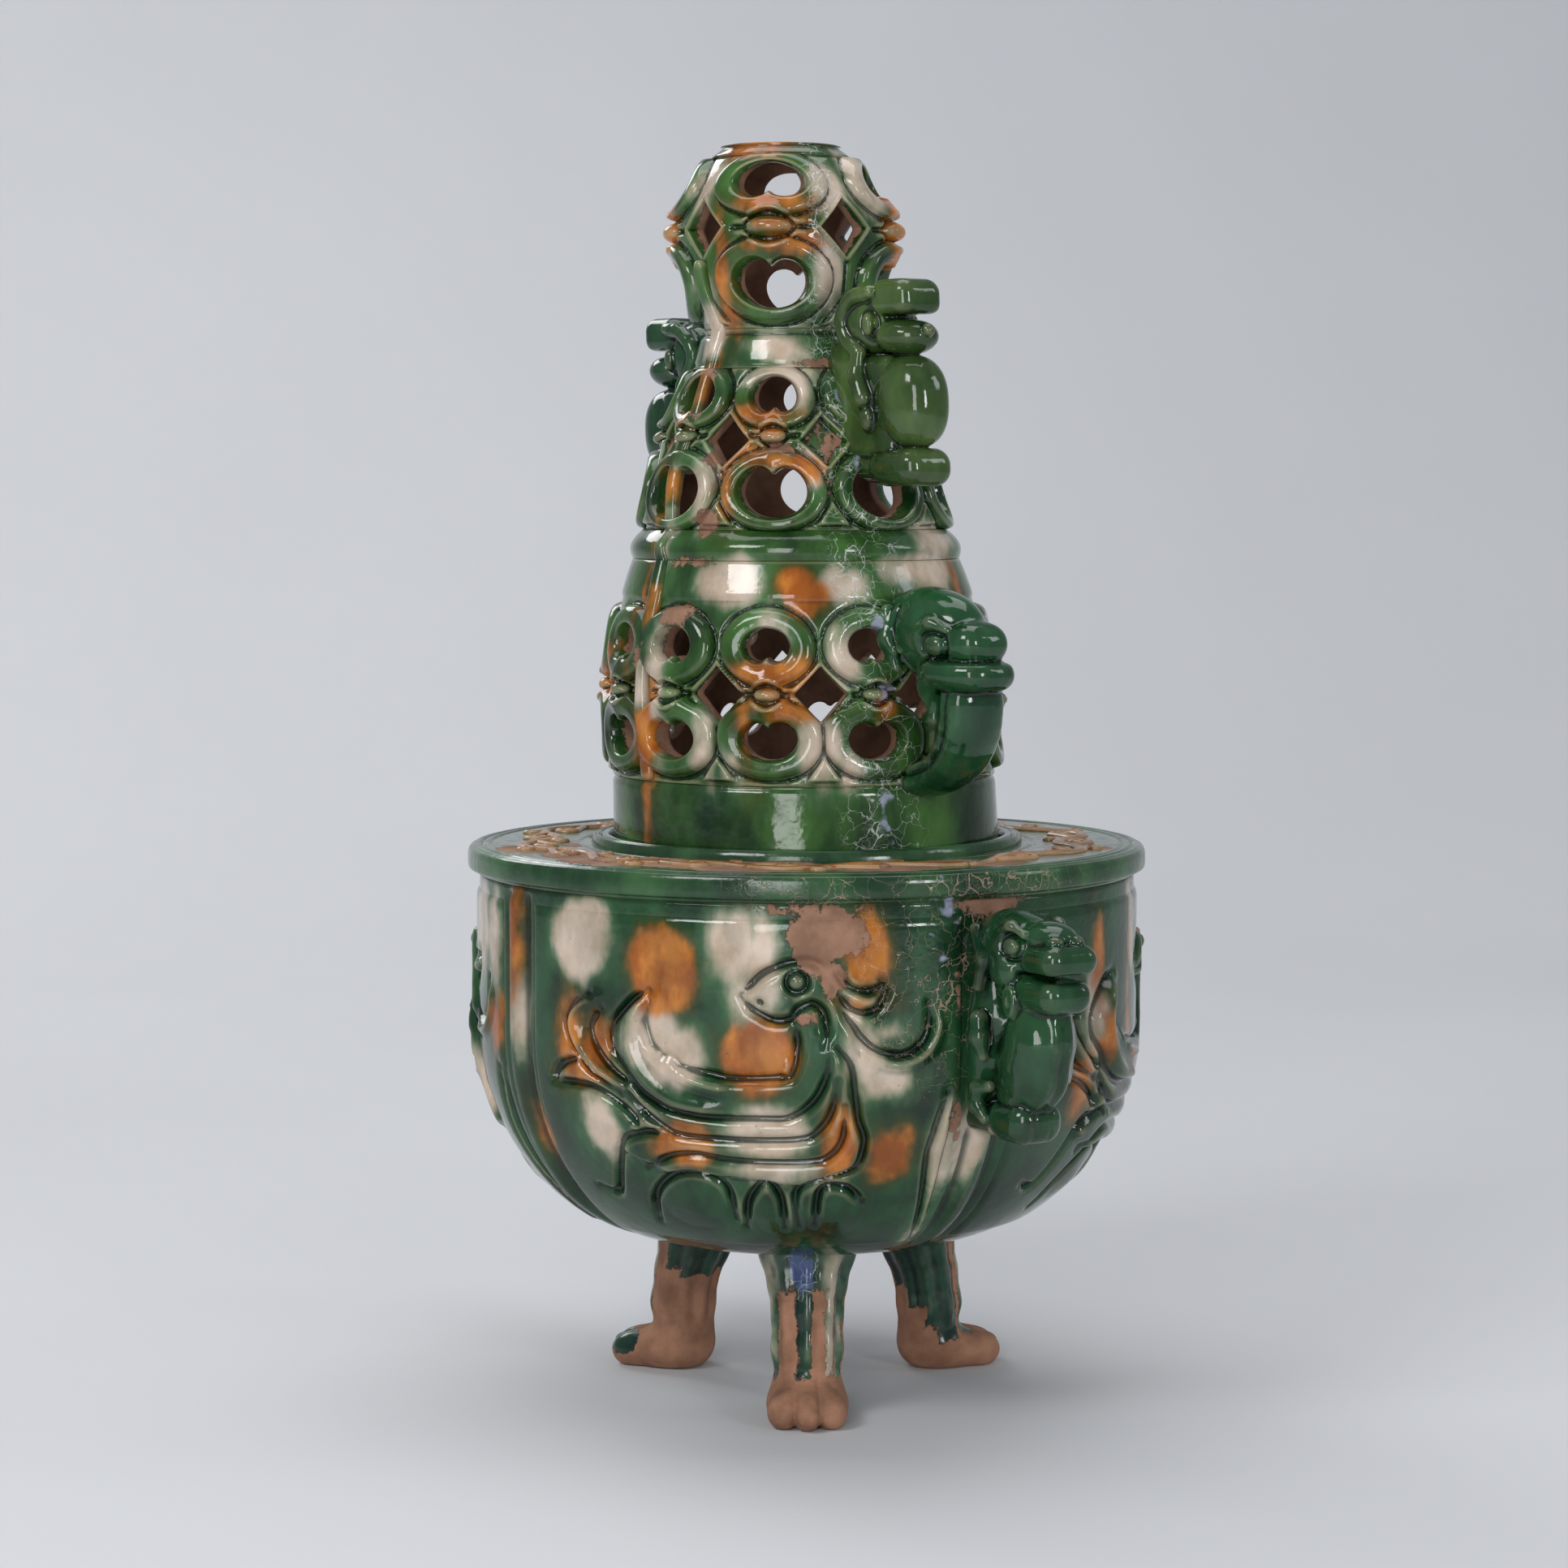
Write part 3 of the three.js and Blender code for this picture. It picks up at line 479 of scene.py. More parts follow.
def paint_plate(points):
    azimuth, z, r = polar(points)
    patches = np.minimum(np.clip((z - PLATE_TOP + 1.5) * 4, NOWHERE, -NOWHERE), worn_plate(azimuth, r))
    inside = np.maximum(MOUTH_RADIUS + 1.5 - r, np.minimum(SEAT_INNER - 3.5 - r, 4))
    under = np.where(z < PLATE_BASE + 1, 94 - r, NOWHERE)
    return masks(z, bare=np.maximum.reduce([patches, inside, under, np.full_like(z, -2.8)]),
                 crackle=hump(azimuth - 20, 25) * (z < PLATE_TOP - 0.8))


def paint_cover(points):
    azimuth, z, r = polar(points)
    wall = np.maximum(cover_at(z), 12)
    inner = np.where(z > DOME_TOP + 1, -20, np.clip(wall - COVER_GLAZE_DEPTH - r, -20, 10))
    inner = np.maximum(inner, np.where(z < COVER_BASE + 0.6, 55.8 - r, -20))
    return masks(z, amber=splash(azimuth, z, wall, COVER_AMBER),
                 cream=splash(azimuth, z, wall, COVER_CREAM),
                 bare=np.maximum(splash(azimuth, z, wall, COVER_BARE), inner),
                 crackle=hump(azimuth - 24, 11) * ramp(z - 160, 6))


def paint_plain(bare, chips=()):
    """Glaze all over, but for chips at a place and with a size."""
    def paint(points):
        z = points[:, 2]
        field = np.full_like(z, bare)
        for x, y, height, size in chips:
            field = np.maximum(field, size - np.linalg.norm(points - np.array([x, y, height]), axis=1))
        return masks(z, bare=field)
    return paint


# Materials
class Nodes:
    """Short ways to add shader nodes to a tree."""

    def __init__(self, tree):
        self.tree = tree

    def add(self, kind, sockets, output=0, **settings):
        node = self.tree.nodes.new(kind)
        for key, value in settings.items():
            setattr(node, key, value)
        for key, value in sockets.items():
            if isinstance(value, bpy.types.NodeSocket):
                self.tree.links.new(value, node.inputs[key])
            else:
                node.inputs[key].default_value = value
        return node.outputs[output] if node.outputs else None

    def math(self, operation, a, b):
        return self.add("ShaderNodeMath", {0: a, 1: b}, operation=operation)

    def plus(self, a, b):
        return self.math("ADD", a, b)

    def minus(self, a, b):
        return self.math("SUBTRACT", a, b)

    def times(self, a, b):
        return self.math("MULTIPLY", a, b)

    def mix(self, factor, a, b, blend="MIX"):
        return self.add("ShaderNodeMix", {0: factor, 6: a, 7: b}, 2, data_type="RGBA", blend_type=blend)

    def step(self, value, low, high, start=0.0, end=1.0):
        return self.add("ShaderNodeMapRange", {"Value": value, "From Min": low, "From Max": high,
                                               "To Min": start, "To Max": end},
                        interpolation_type="SMOOTHSTEP")

    def place(self, tall=1.0):
        """Place on the object; tall is less than 1 for a pattern drawn out in height."""
        point = self.add("ShaderNodeTexCoord", {}, 3)
        return self.add("ShaderNodeVectorMath", {0: point, 1: (1, 1, tall)}, operation="MULTIPLY")

    def noise(self, scale, detail, roughness=0.55, tall=1.0):
        return self.add("ShaderNodeTexNoise", {"Vector": self.place(tall), "Scale": scale,
                                               "Detail": detail, "Roughness": roughness})

    def mask(self, name):
        return self.add("ShaderNodeAttribute", {}, 2, attribute_name=name)

    def use(self, tree, sockets, output=0):
        return self.add("ShaderNodeGroup", sockets, output, node_tree=tree)


def group(name, inputs, outputs, fill):
    """Node group; fill gets its tree and inputs and gives a value for each output."""
    tree = bpy.data.node_groups.new(name, "ShaderNodeTree")
    for key, kind in inputs:
        tree.interface.new_socket(key, in_out="INPUT", socket_type=kind)
    for key, kind in outputs:
        tree.interface.new_socket(key, in_out="OUTPUT", socket_type=kind)
    nodes = Nodes(tree)
    source = tree.nodes.new("NodeGroupInput")
    sink = tree.nodes.new("NodeGroupOutput")
    results = fill(nodes, {key: source.outputs[key] for key, _ in inputs})
    for key, value in results.items():
        tree.links.new(value, sink.inputs[key])
    return tree


FLOAT, COLOUR = "NodeSocketFloat", "NodeSocketColor"


def fill_glaze_edge(n, given):
    """A splash's edge wanders and runs a little downward; the field is in millimetres."""
    slow = n.minus(n.noise(62, 2, tall=0.6), 0.5)
    fine = n.minus(n.noise(210, 2, tall=0.6), 0.5)
    ragged = n.minus(n.noise(420, 6, 0.7), 0.5)
    drift = n.plus(n.times(slow, 11.0), n.times(fine, 4.5))
    field = n.plus(given["Field"], n.times(drift, given["Wander"]))
    field = n.plus(field, n.times(ragged, given["Ragged"]))
    return {"Mask": n.step(n.math("DIVIDE", field, given["Softness"]), -1.0, 1.0)}


def fill_crackle(n, given):
    """Net of fine cracks, wider where the amount is high."""
    bend = n.add("ShaderNodeTexNoise", {"Vector": n.place(), "Scale": 130.0, "Detail": 3.0}, 1)
    shift = n.add("ShaderNodeVectorMath", {0: bend, 1: (0.012, 0.012, 0.012)}, operation="MULTIPLY")
    place = n.add("ShaderNodeVectorMath", {0: n.place(), 1: shift}, operation="ADD")
    coarse = n.add("ShaderNodeTexVoronoi", {"Vector": place, "Scale": given["Scale"]},
                   feature="DISTANCE_TO_EDGE")
    finer = n.times(given["Scale"], 2.3)
    small = n.add("ShaderNodeTexVoronoi", {"Vector": place, "Scale": finer}, feature="DISTANCE_TO_EDGE")
    patchy = n.step(n.noise(70, 3), 0.42, 0.66)
    width = n.times(n.times(given["Amount"], patchy), 0.03)
    lines = n.step(n.minus(coarse, width), -0.012, 0.02, 1.0, 0.0)
    extra = n.times(n.step(small, 0.0, 0.035, 1.0, 0.0), n.step(patchy, 0.2, 0.9))
    both = n.math("MAXIMUM", lines, n.times(extra, 0.7))
    return {"Lines": n.times(both, n.step(given["Amount"], 0.05, 0.5))}


def fill_glaze_pooling_and_painted_light(n, given):
    """Glaze is darker in hollows, where real pooling is deepened by painted shade, paler on ridges, where
    real thinning carries a painted highlight, and mottled.
    """
    cloud = n.step(n.noise(85, 4, tall=0.6), 0.34, 0.66)
    dark = n.mix(1.0, given["Colour"], (0.42, 0.46, 0.42, 1), "MULTIPLY")
    cloudy = n.mix(n.times(n.minus(1.0, cloud), 0.55), given["Colour"], dark)
    # Painted shade in hollows, laid over the glaze's real pooling.
    pool_and_shade = n.step(given["Hollow"], 0.04, 0.45)
    pooled_and_shaded_colour = n.mix(1.0, cloudy, (0.12, 0.17, 0.16, 1), "MULTIPLY")
    pooled_and_shaded = n.mix(n.times(pool_and_shade, given["Pooling_And_Shade"]), cloudy, pooled_and_shaded_colour)
    # Painted highlight on ridges, laid over the glaze's real thinning.
    thin = n.step(given["Hollow"], -0.25, -1.0)
    pale = n.mix(0.55, pooled_and_shaded, (0.50, 0.46, 0.28, 1))
    thinned_and_highlit = n.mix(n.times(thin, given["Thinning_And_Highlight"]), pooled_and_shaded, pale)
    return {"Colour": thinned_and_highlit}


def fill_clay(n, given):
    """Pinkish brown clay with fine grit and a few stains."""
    coarse = n.step(n.noise(120, 5), 0.3, 0.7)
    fine = n.noise(1500, 4, 0.7)
    base = n.mix(coarse, (0.20, 0.108, 0.066, 1), (0.34, 0.190, 0.122, 1))
    tinted = n.mix(1.0, base, given["Tint"], "MULTIPLY")
    stain = n.step(n.noise(260, 4, 0.7), 0.60, 0.75)
    stained = n.mix(n.times(stain, 0.35), tinted, (0.07, 0.05, 0.04, 1))
    grit = n.times(n.step(fine, 0.35, 0.65), 0.3)
    gritty = n.mix(grit, stained, (0.55, 0.40, 0.32, 1), "SOFT_LIGHT")
    height = n.plus(n.times(fine, 0.5), n.times(coarse, 0.5))
    return {"Colour": gritty, "Height": height}


GLAZE_EDGE = group("glaze_edge", [("Field", FLOAT), ("Softness", FLOAT), ("Wander", FLOAT),
                                  ("Ragged", FLOAT)], [("Mask", FLOAT)], fill_glaze_edge)
CRACKLE = group("crackle", [("Amount", FLOAT), ("Scale", FLOAT)], [("Lines", FLOAT)], fill_crackle)
GLAZE_POOLING_AND_PAINTED_LIGHT = group("glaze_pooling_and_painted_light", [("Colour", COLOUR), ("Hollow", FLOAT), ("Pooling_And_Shade", FLOAT),
                                    ("Thinning_And_Highlight", FLOAT)], [("Colour", COLOUR)], fill_glaze_pooling_and_painted_light)
CLAY = group("clay_body", [("Tint", COLOUR)], [("Colour", COLOUR), ("Height", FLOAT)], fill_clay)


def splash_mask(n, field, softness, shift=0.0):
    moved = n.plus(n.mask(field), shift)
    return n.use(GLAZE_EDGE, {"Field": moved, "Softness": softness, "Wander": 1.0, "Ragged": 0.0})


def glaze_body(n, dark, light):
    """Green with cream and amber splashes, each with a darker seam where it meets the green."""
    tone = n.step(n.noise(55, 4, tall=0.5), 0.3, 0.72)
    green = n.mix(tone, dark, light)
    yellow = n.step(n.noise(130, 4, tall=0.6), 0.36, 0.66)
    amber = n.mix(yellow, (0.34, 0.090, 0.010, 1), (0.58, 0.205, 0.032, 1))
    stains = n.step(n.noise(90, 4), 0.35, 0.75)
    cream = n.mix(stains, (0.66, 0.54, 0.44, 1), (0.50, 0.38, 0.27, 1))
    cream_seam = n.times(splash_mask(n, "cream", 3.4, 2.0), 0.7)
    amber_seam = n.times(splash_mask(n, "amber", 3.0, 2.2), 0.85)
    body = n.mix(cream_seam, green, (0.10, 0.22, 0.10, 1))
    body = n.mix(amber_seam, body, (0.055, 0.060, 0.008, 1))
    body = n.mix(splash_mask(n, "cream", 2.4), body, cream)
    return n.mix(splash_mask(n, "amber", 1.9), body, amber)


def aged(n, glazed, cracks, crack, silver, silver_from):
    """Hair cracks, open cracks, silvery bloom and specks over a glaze."""
    hair = n.use(CRACKLE, {"Amount": 0.07, "Scale": 330.0})
    glazed = n.mix(n.times(hair, 0.12), glazed, (0.45, 0.42, 0.33, 1))
    glazed = n.mix(n.times(cracks, 0.65), glazed, crack)
    bloom = n.step(n.times(n.mask("crackle"), n.noise(85, 3)), silver_from, silver_from + 0.06)
    glazed = n.mix(n.times(bloom, 0.7), glazed, silver)
    specks = n.step(n.noise(900, 2, 0.4), 0.74, 0.79)
    return n.mix(n.times(specks, 0.6), glazed, (0.08, 0.05, 0.03, 1))


def pottery(name, dark, light, crack=(0.62, 0.66, 0.62, 1), tint=(1, 1, 1, 1), gloss=0.06,
            silver_from=0.6, silver=(0.38, 0.40, 0.55, 1), thinning_and_highlight=0.6):
    """Lead glaze in up to three colours over clay, laid out by the masks of each mesh."""
    material = bpy.data.materials.new(name)
    material.use_nodes = True
    n = Nodes(material.node_tree)
    for node in list(material.node_tree.nodes):
        material.node_tree.nodes.remove(node)
    cracks = n.use(CRACKLE, {"Amount": n.mask("crackle"), "Scale": 170.0})
    # Painted shade in hollows and painted highlight on ridges, laid over real glaze pooling and thinning.
    glazed = n.use(GLAZE_POOLING_AND_PAINTED_LIGHT, {"Colour": glaze_body(n, dark, light), "Hollow": n.mask("hollow"),
                                 "Pooling_And_Shade": 0.9, "Thinning_And_Highlight": thinning_and_highlight})
    glazed = aged(n, glazed, cracks, crack, silver, silver_from)
    bare = n.use(GLAZE_EDGE, {"Field": n.mask("bare"), "Softness": 0.3, "Wander": 0.35, "Ragged": 7.0})
    covered = n.minus(1.0, bare)
    colour = n.mix(bare, glazed, n.use(CLAY, {"Tint": tint}))
    smear = n.step(n.noise(300, 4), 0.3, 0.8, gloss, gloss + 0.12)
    roughness = n.plus(n.times(smear, covered), n.times(bare, 0.82))
    wave = n.times(n.noise(160, 2), 0.35)
    peel = n.times(n.noise(1100, 2), 0.03)
    glaze_height = n.plus(n.plus(wave, peel), 0.55)
    glaze_height = n.minus(glaze_height, n.times(cracks, 0.12))
    clay_height = n.times(n.use(CLAY, {"Tint": tint}, 1), bare)
    height = n.plus(n.times(glaze_height, covered), n.times(clay_height, 0.45))
    bump = n.add("ShaderNodeBump", {"Height": height, "Distance": 0.0006, "Strength": 0.8})
    shader = n.add("ShaderNodeBsdfPrincipled", {"Base Color": colour, "Roughness": roughness,
                                                "Normal": bump, "IOR": 1.52})
    n.add("ShaderNodeOutputMaterial", {"Surface": shader})
    return material


CLAY_CRACKS = (0.42, 0.27, 0.20, 1)
THREE_COLOUR = pottery("three_colour_glaze", (0.004, 0.026, 0.008, 1), (0.060, 0.162, 0.030, 1))
BOWL_GLAZE = pottery("bowl_three_colour_glaze", (0.003, 0.020, 0.008, 1), (0.020, 0.086, 0.030, 1),
                     crack=CLAY_CRACKS)
# Handles get less of the pale ridge colour, which is partly real thinning and partly painted highlight.
HANDLE = {"gloss": 0.05, "thinning_and_highlight": 0.25}
OLIVE_HANDLE = pottery("olive_green_glaze", (0.020, 0.052, 0.012, 1), (0.080, 0.140, 0.036, 1), **HANDLE)
GREEN_HANDLE = pottery("handle_green_glaze", (0.004, 0.026, 0.010, 1), (0.018, 0.078, 0.028, 1), **HANDLE)
DARK_HANDLE = pottery("dark_green_glaze", (0.006, 0.036, 0.014, 1), (0.024, 0.105, 0.036, 1), **HANDLE)
PLATE_GLAZE = pottery("plate_green_glaze", (0.012, 0.046, 0.018, 1), (0.044, 0.125, 0.044, 1),
                      crack=CLAY_CRACKS, gloss=0.13)
SCROLL_GLAZE = pottery("amber_scroll_glaze", (0.22, 0.062, 0.009, 1), (0.42, 0.160, 0.028, 1), gloss=0.2)
LEG_CLAY = pottery("bare_clay_leg", (0.003, 0.018, 0.014, 1), (0.016, 0.074, 0.038, 1),
                   tint=(1.15, 1.06, 1.0, 1), gloss=0.14, silver_from=0.46,
                   silver=(0.07, 0.11, 0.28, 1))


# Bowl
# Heights down the wall from the plate, and the length of wall from the plate to each
WALL_STEPS = np.concatenate([np.linspace(PLATE_BASE, BELLY, 60)[:-1],
                             BELLY - (BELLY - BOWL_BASE) * np.sin(np.linspace(0, np.pi / 2, 400))])
STEP_LENGTHS = np.hypot(np.diff(WALL_STEPS), np.diff(bowl_at(WALL_STEPS)))
WALL_LENGTH = np.concatenate([[0], np.cumsum(STEP_LENGTHS)])


def on_bowl(u, s, lift):
    """Point on the bowl's wall: u round it at its widest, s down it from the plate, lift outward."""
    z = np.interp(s, WALL_LENGTH, WALL_STEPS)
    r = bowl_at(z)
    drop = np.clip((BELLY - z) / (BELLY - BOWL_BASE), 0, 1)
    out = np.sqrt(np.maximum(1 - drop ** 2, 0)) / (WALL_RADIUS - BASE_RADIUS)
    down = -drop / (BELLY - BOWL_BASE)
    size = np.hypot(out, down)
    r, z = r + lift * out / size, z + lift * down / size
    return about(r, u / WALL_RADIUS, z)


# Half width of a wall panel, and how far down the wall it starts and ends
PANEL_HALF, PANEL_START, PANEL_END = 68.0, 2.6, 112.0
PANEL_GROUND, PANEL_UNDER, PANEL_BED = 0.9, -2.4, 2.1

# Lines pressed into each panel round its beast, as (along the wall, down the wall)
GROOVES = [
    [(5, 25), (9, 20), (13.5, 17.5), (18, 16), (23.5, 16), (27.5, 18)],
    [(5, 25), (7, 28), (9, 29.5), (13.5, 31.5), (18, 31), (20, 28.5), (23.5, 27), (26.5, 29),
     (27.5, 33), (27.5, 39)],
    [(19.5, 31.5), (20, 39), (18.5, 45.5), (15.5, 47.5), (2.5, 48), (-5.5, 47), (-13.5, 46)],
    [(29.5, 24.5), (34.5, 33), (40.5, 39.5), (48, 42), (54, 39), (56.5, 34), (56, 27.5)],
    [(29.5, 17), (33, 22), (38, 24), (42.5, 23), (43, 21)],
    [(30, 24), (34.5, 29), (40, 29.5), (43.5, 25.5), (44, 22)],
    [(30, 39), (34, 43.5), (35.5, 53), (36.5, 60), (38.5, 66), (37, 73.5), (31, 77),
     (22, 80), (18.5, 85.5), (19.5, 97)],
    [(-34, 44), (-28.5, 50), (-22.5, 54.5), (-15.5, 57.5), (-4.5, 59), (10, 59), (17.5, 58.5),
     (23.5, 54.5), (27, 48.5), (28.5, 41)],
    [(-29.5, 54), (-24.5, 58.5), (-18.5, 63), (-13, 65), (1.5, 65.5), (19.5, 65), (25.5, 62.5),
     (29.5, 56), (30.5, 48)],
    [(-28, 77), (-19.5, 72), (-10.5, 70.5), (1.5, 72), (22, 72), (29, 70), (32.5, 64),
     (32, 55)],
    [(-42.5, 27), (-48.5, 30.5), (-51.5, 35), (-49.5, 41.5), (-43, 48.5), (-32, 54)],
    [(-38.5, 30.5), (-42.5, 36), (-40.5, 42), (-34.5, 48), (-27.5, 51.5)],
    [(-22.5, 25), (-28, 28), (-34, 35), (-34, 41.5), (-29, 48), (-23.5, 55)],
    [(-58, 53), (-55, 48.5), (-47, 45.5)],
    [(-57, 53), (-42.5, 53.5), (-32.5, 58), (-26, 64.5)],
    [(-19, 65), (-24, 64.5), (-31, 66.5), (-35.5, 70.5), (-44, 87), (-51.5, 86)],
    [(-33, 98), (-29, 87), (-20, 79), (-11, 77), (-3, 81.5), (-2, 94.5)],
    [(1, 98.5), (3.5, 87), (9.5, 79.5), (14, 85.5), (14.5, 98)],
    [(40, 87), (34, 81.5), (26.5, 82.5), (25, 96)],
    [(62.5, 53), (59.5, 65.5), (59, 76.5), (64.5, 108)],
    [(65.5, 54), (65, 66), (64.5, 77), (66, 100.5)]]
# Raised bands of the beast: line, half width and height
RIDGES = [
    ([(-40, 28), (-46, 30), (-48, 35.5), (-46, 41), (-39.5, 47.5), (-30.5, 53.5)], 1.7, 1.5),
    ([(-21, 26.5), (-26.5, 32), (-27.5, 40), (-23.5, 48), (-15.5, 54), (-6, 56), (2, 56)], 2.0, 1.4),
    ([(-18, 42.5), (-13.5, 46), (-5.5, 49.5), (2.5, 50.5)], 1.3, 1.0),
    ([(57.5, 29), (58.5, 35), (55, 41.5), (48, 44), (39, 42)], 1.4, 1.1),
    ([(26.5, 36), (30, 44), (31.5, 54), (29.5, 62)], 1.8, 0.9),
    ([(33, 20), (38, 26.5), (42, 26)], 1.8, 0.9)]
BEAST = [
    (5, 25), (13.5, 17.5), (23.5, 16), (29.5, 24.5), (34.5, 33), (35.5, 44.5), (36.5, 60), (38.5, 66),
    (37, 73.5), (22, 80), (1, 77), (-20.5, 77), (-35.5, 70.5), (-24.5, 58.5), (-34, 44), (-34, 35),
    (-22.5, 25), (-24.5, 33), (-22, 40), (-16, 45.5), (-5.5, 47), (15.5, 47.5), (20, 39), (19.5, 31.5),
    (13.5, 31.5), (7, 28)]
EYE, NOSTRIL = (19.5, 21), (9.5, 27)


def in_outline(x, y, outline):
    """Signed distance to a closed outline: below zero inside."""
    ring = np.array(outline + outline[:1], float)
    distance, _ = line_distance(x, y, ring)
    crossings = np.zeros(x.shape, int)
    for (ax, ay), (bx, by) in zip(ring, ring[1:]):
        if ay != by:
            crossings += ((ay > y) != (by > y)) & (x < (bx - ax) * (y - ay) / (by - ay) + ax)
    return np.where(crossings % 2 == 1, -distance, distance)


def beast_relief(u, s):
    body = in_outline(u, s, BEAST)
    height = 1.6 * np.clip(0.5 - body / 2.4, 0, 1)
    for line, width, rise in RIDGES:
        distance, share = line_distance(u, s, curved(line))
        taper = np.clip(6 * share, 0.2, 1) * np.clip(6 * (1 - share), 0.2, 1)
        height = height + 1.3 * rise * taper * hump(distance, 1.2 * width)
    pressed = np.zeros_like(u)
    for line in GROOVES:
        distance, share = line_distance(u, s, curved(line))
        taper = np.clip(8 * share, 0.35, 1) * np.clip(8 * (1 - share), 0.35, 1)
        pressed = np.maximum(pressed, taper * hump(distance, 1.35))
    eye = np.hypot(u - EYE[0], s - EYE[1])
    pressed = np.maximum(pressed, hump(eye - 3.0, 0.7))
    pressed = np.maximum(pressed, hump(np.hypot(u - NOSTRIL[0], s - NOSTRIL[1]), 1.5))
    height = height + 0.9 * hump(eye, 1.8)
    for a, b, wide, tall in [(-15.5, 90, 9.5, 8), (9, 91, 4, 8), (33, 92, 7, 8)]:
        height = height + 0.8 * np.clip(1.2 - np.hypot((u - a) / wide, (s - b) / tall), 0, 1)
    return height - 2.6 * pressed


def wall_panel(number, azimuth):
    """One panel of the wall, with its beast, from one rib to the next."""
    columns, rows = 216, 172
    u, s = np.meshgrid(np.linspace(-PANEL_HALF, PANEL_HALF, columns),
                       np.linspace(PANEL_START, PANEL_END, rows), indexing="ij")
    edge = np.minimum.reduce([PANEL_HALF - np.abs(u), s - PANEL_START, PANEL_END - s])
    lift = PANEL_GROUND + beast_relief(u, s) * ramp(edge, 5) - 1.9 * hump(edge, 1.9)
    offset = math.radians(azimuth) * WALL_RADIUS
    top = on_bowl(u + offset, s, lift)
    under = on_bowl(u + offset, s, np.full_like(u, PANEL_UNDER))
    points = np.concatenate([top.reshape(-1, 3), under.reshape(-1, 3)])
    index = np.arange(columns * rows).reshape(columns, rows)
    size = columns * rows
    quads = np.stack([index[:-1, :-1], index[1:, :-1], index[1:, 1:], index[:-1, 1:]], -1).reshape(-1, 4)
    border = np.concatenate([index[:-1, 0], index[-1, :-1], index[:0:-1, -1], index[0, :0:-1]])
    after = np.roll(border, -1)
    sides = np.stack([border, border + size, after + size, after], 1)
    faces = np.concatenate([quads, quads[:, ::-1] + size, sides])
    piece(f"wall_panel_{number}", (points, faces), "bowl", [f"wall_beast_{number}"], BOWL_GLAZE,
          paint_bowl, rounds=3)


def bowl_body():
    """Wall, belly and base, with a rib between panels."""
    sides, rows, inner_rows = 420, 120, 40
    s = np.linspace(0, WALL_LENGTH[-1], rows)
    u = 2 * np.pi * WALL_RADIUS * np.arange(sides) / sides
    uu, ss = np.meshgrid(u, s, indexing="xy")
    lift = np.zeros_like(uu)
    for k in range(4):
        offset = (uu / WALL_RADIUS - math.radians(BOWL_AXIS + 90 * k) + np.pi) % (2 * np.pi) - np.pi
        across = offset * WALL_RADIUS
        fade = ramp(ss, 4) * ramp(118 - ss, 25)
        rib = 2.6 * hump(across, 2.4) - 1.2 * hump(across, 0.8) - 1.3 * hump(np.abs(across) - 5.2, 1.3)
        covered = ramp(ss - 62, 5) if k % 2 == 0 else 1.0
        lift = lift + rib * fade * covered
        along = (uu / WALL_RADIUS - math.radians(PANEL_AXIS + 90 * k) + np.pi) % (2 * np.pi) - np.pi
        margin = np.minimum.reduce([PANEL_HALF - np.abs(along) * WALL_RADIUS, ss - PANEL_START,
                                    PANEL_END - ss])
        lift = lift - PANEL_BED * ramp(margin - 3, 2)
    outer = on_bowl(uu, ss, lift)
    low = BOWL_BASE + 9
    z = low + (PLATE_BASE - low) * np.linspace(0, 1, inner_rows) ** 1.5
    drop = np.clip((BELLY - z) / (BELLY - low), 0, 1)
    reach = BASE_RADIUS + (WALL_RADIUS - BOWL_WALL - BASE_RADIUS) * np.sqrt(np.maximum(1 - drop ** 2, 0))
    rings = np.concatenate([[[0.4, low]], np.stack([reach, z], 1)])[::-1]
    angle = u / WALL_RADIUS
    inner = about(rings[:, :1], angle, rings[:, 1:])
    bottom = about(np.array([[0.4], [20]]), angle, BOWL_BASE)
    stack = np.concatenate([bottom, outer[::-1], inner])
    shape = stack.reshape(-1, 3), ring_faces(len(stack), sides)
    piece("bowl_body", shape, "bowl", ["bowl_shell"], BOWL_GLAZE, paint_bowl,
          rounds=2)


def rounded(outline, radius, steps=4):
    """Outline with each corner cut to a small arc."""
    result = []
    points = [np.array(p, float) for p in outline]
    for before, corner, after in zip(points[-1:] + points, points, points[1:] + points[:1]):
        a, b = before - corner, after - corner
        reach = min(radius, np.linalg.norm(a) / 2.2, np.linalg.norm(b) / 2.2)
        start, end = corner + a / np.linalg.norm(a) * reach, corner + b / np.linalg.norm(b) * reach
        for t in np.linspace(0, 1, steps):
            result.append((1 - t) ** 2 * start + 2 * t * (1 - t) * corner + t ** 2 * end)
    return np.array(result)


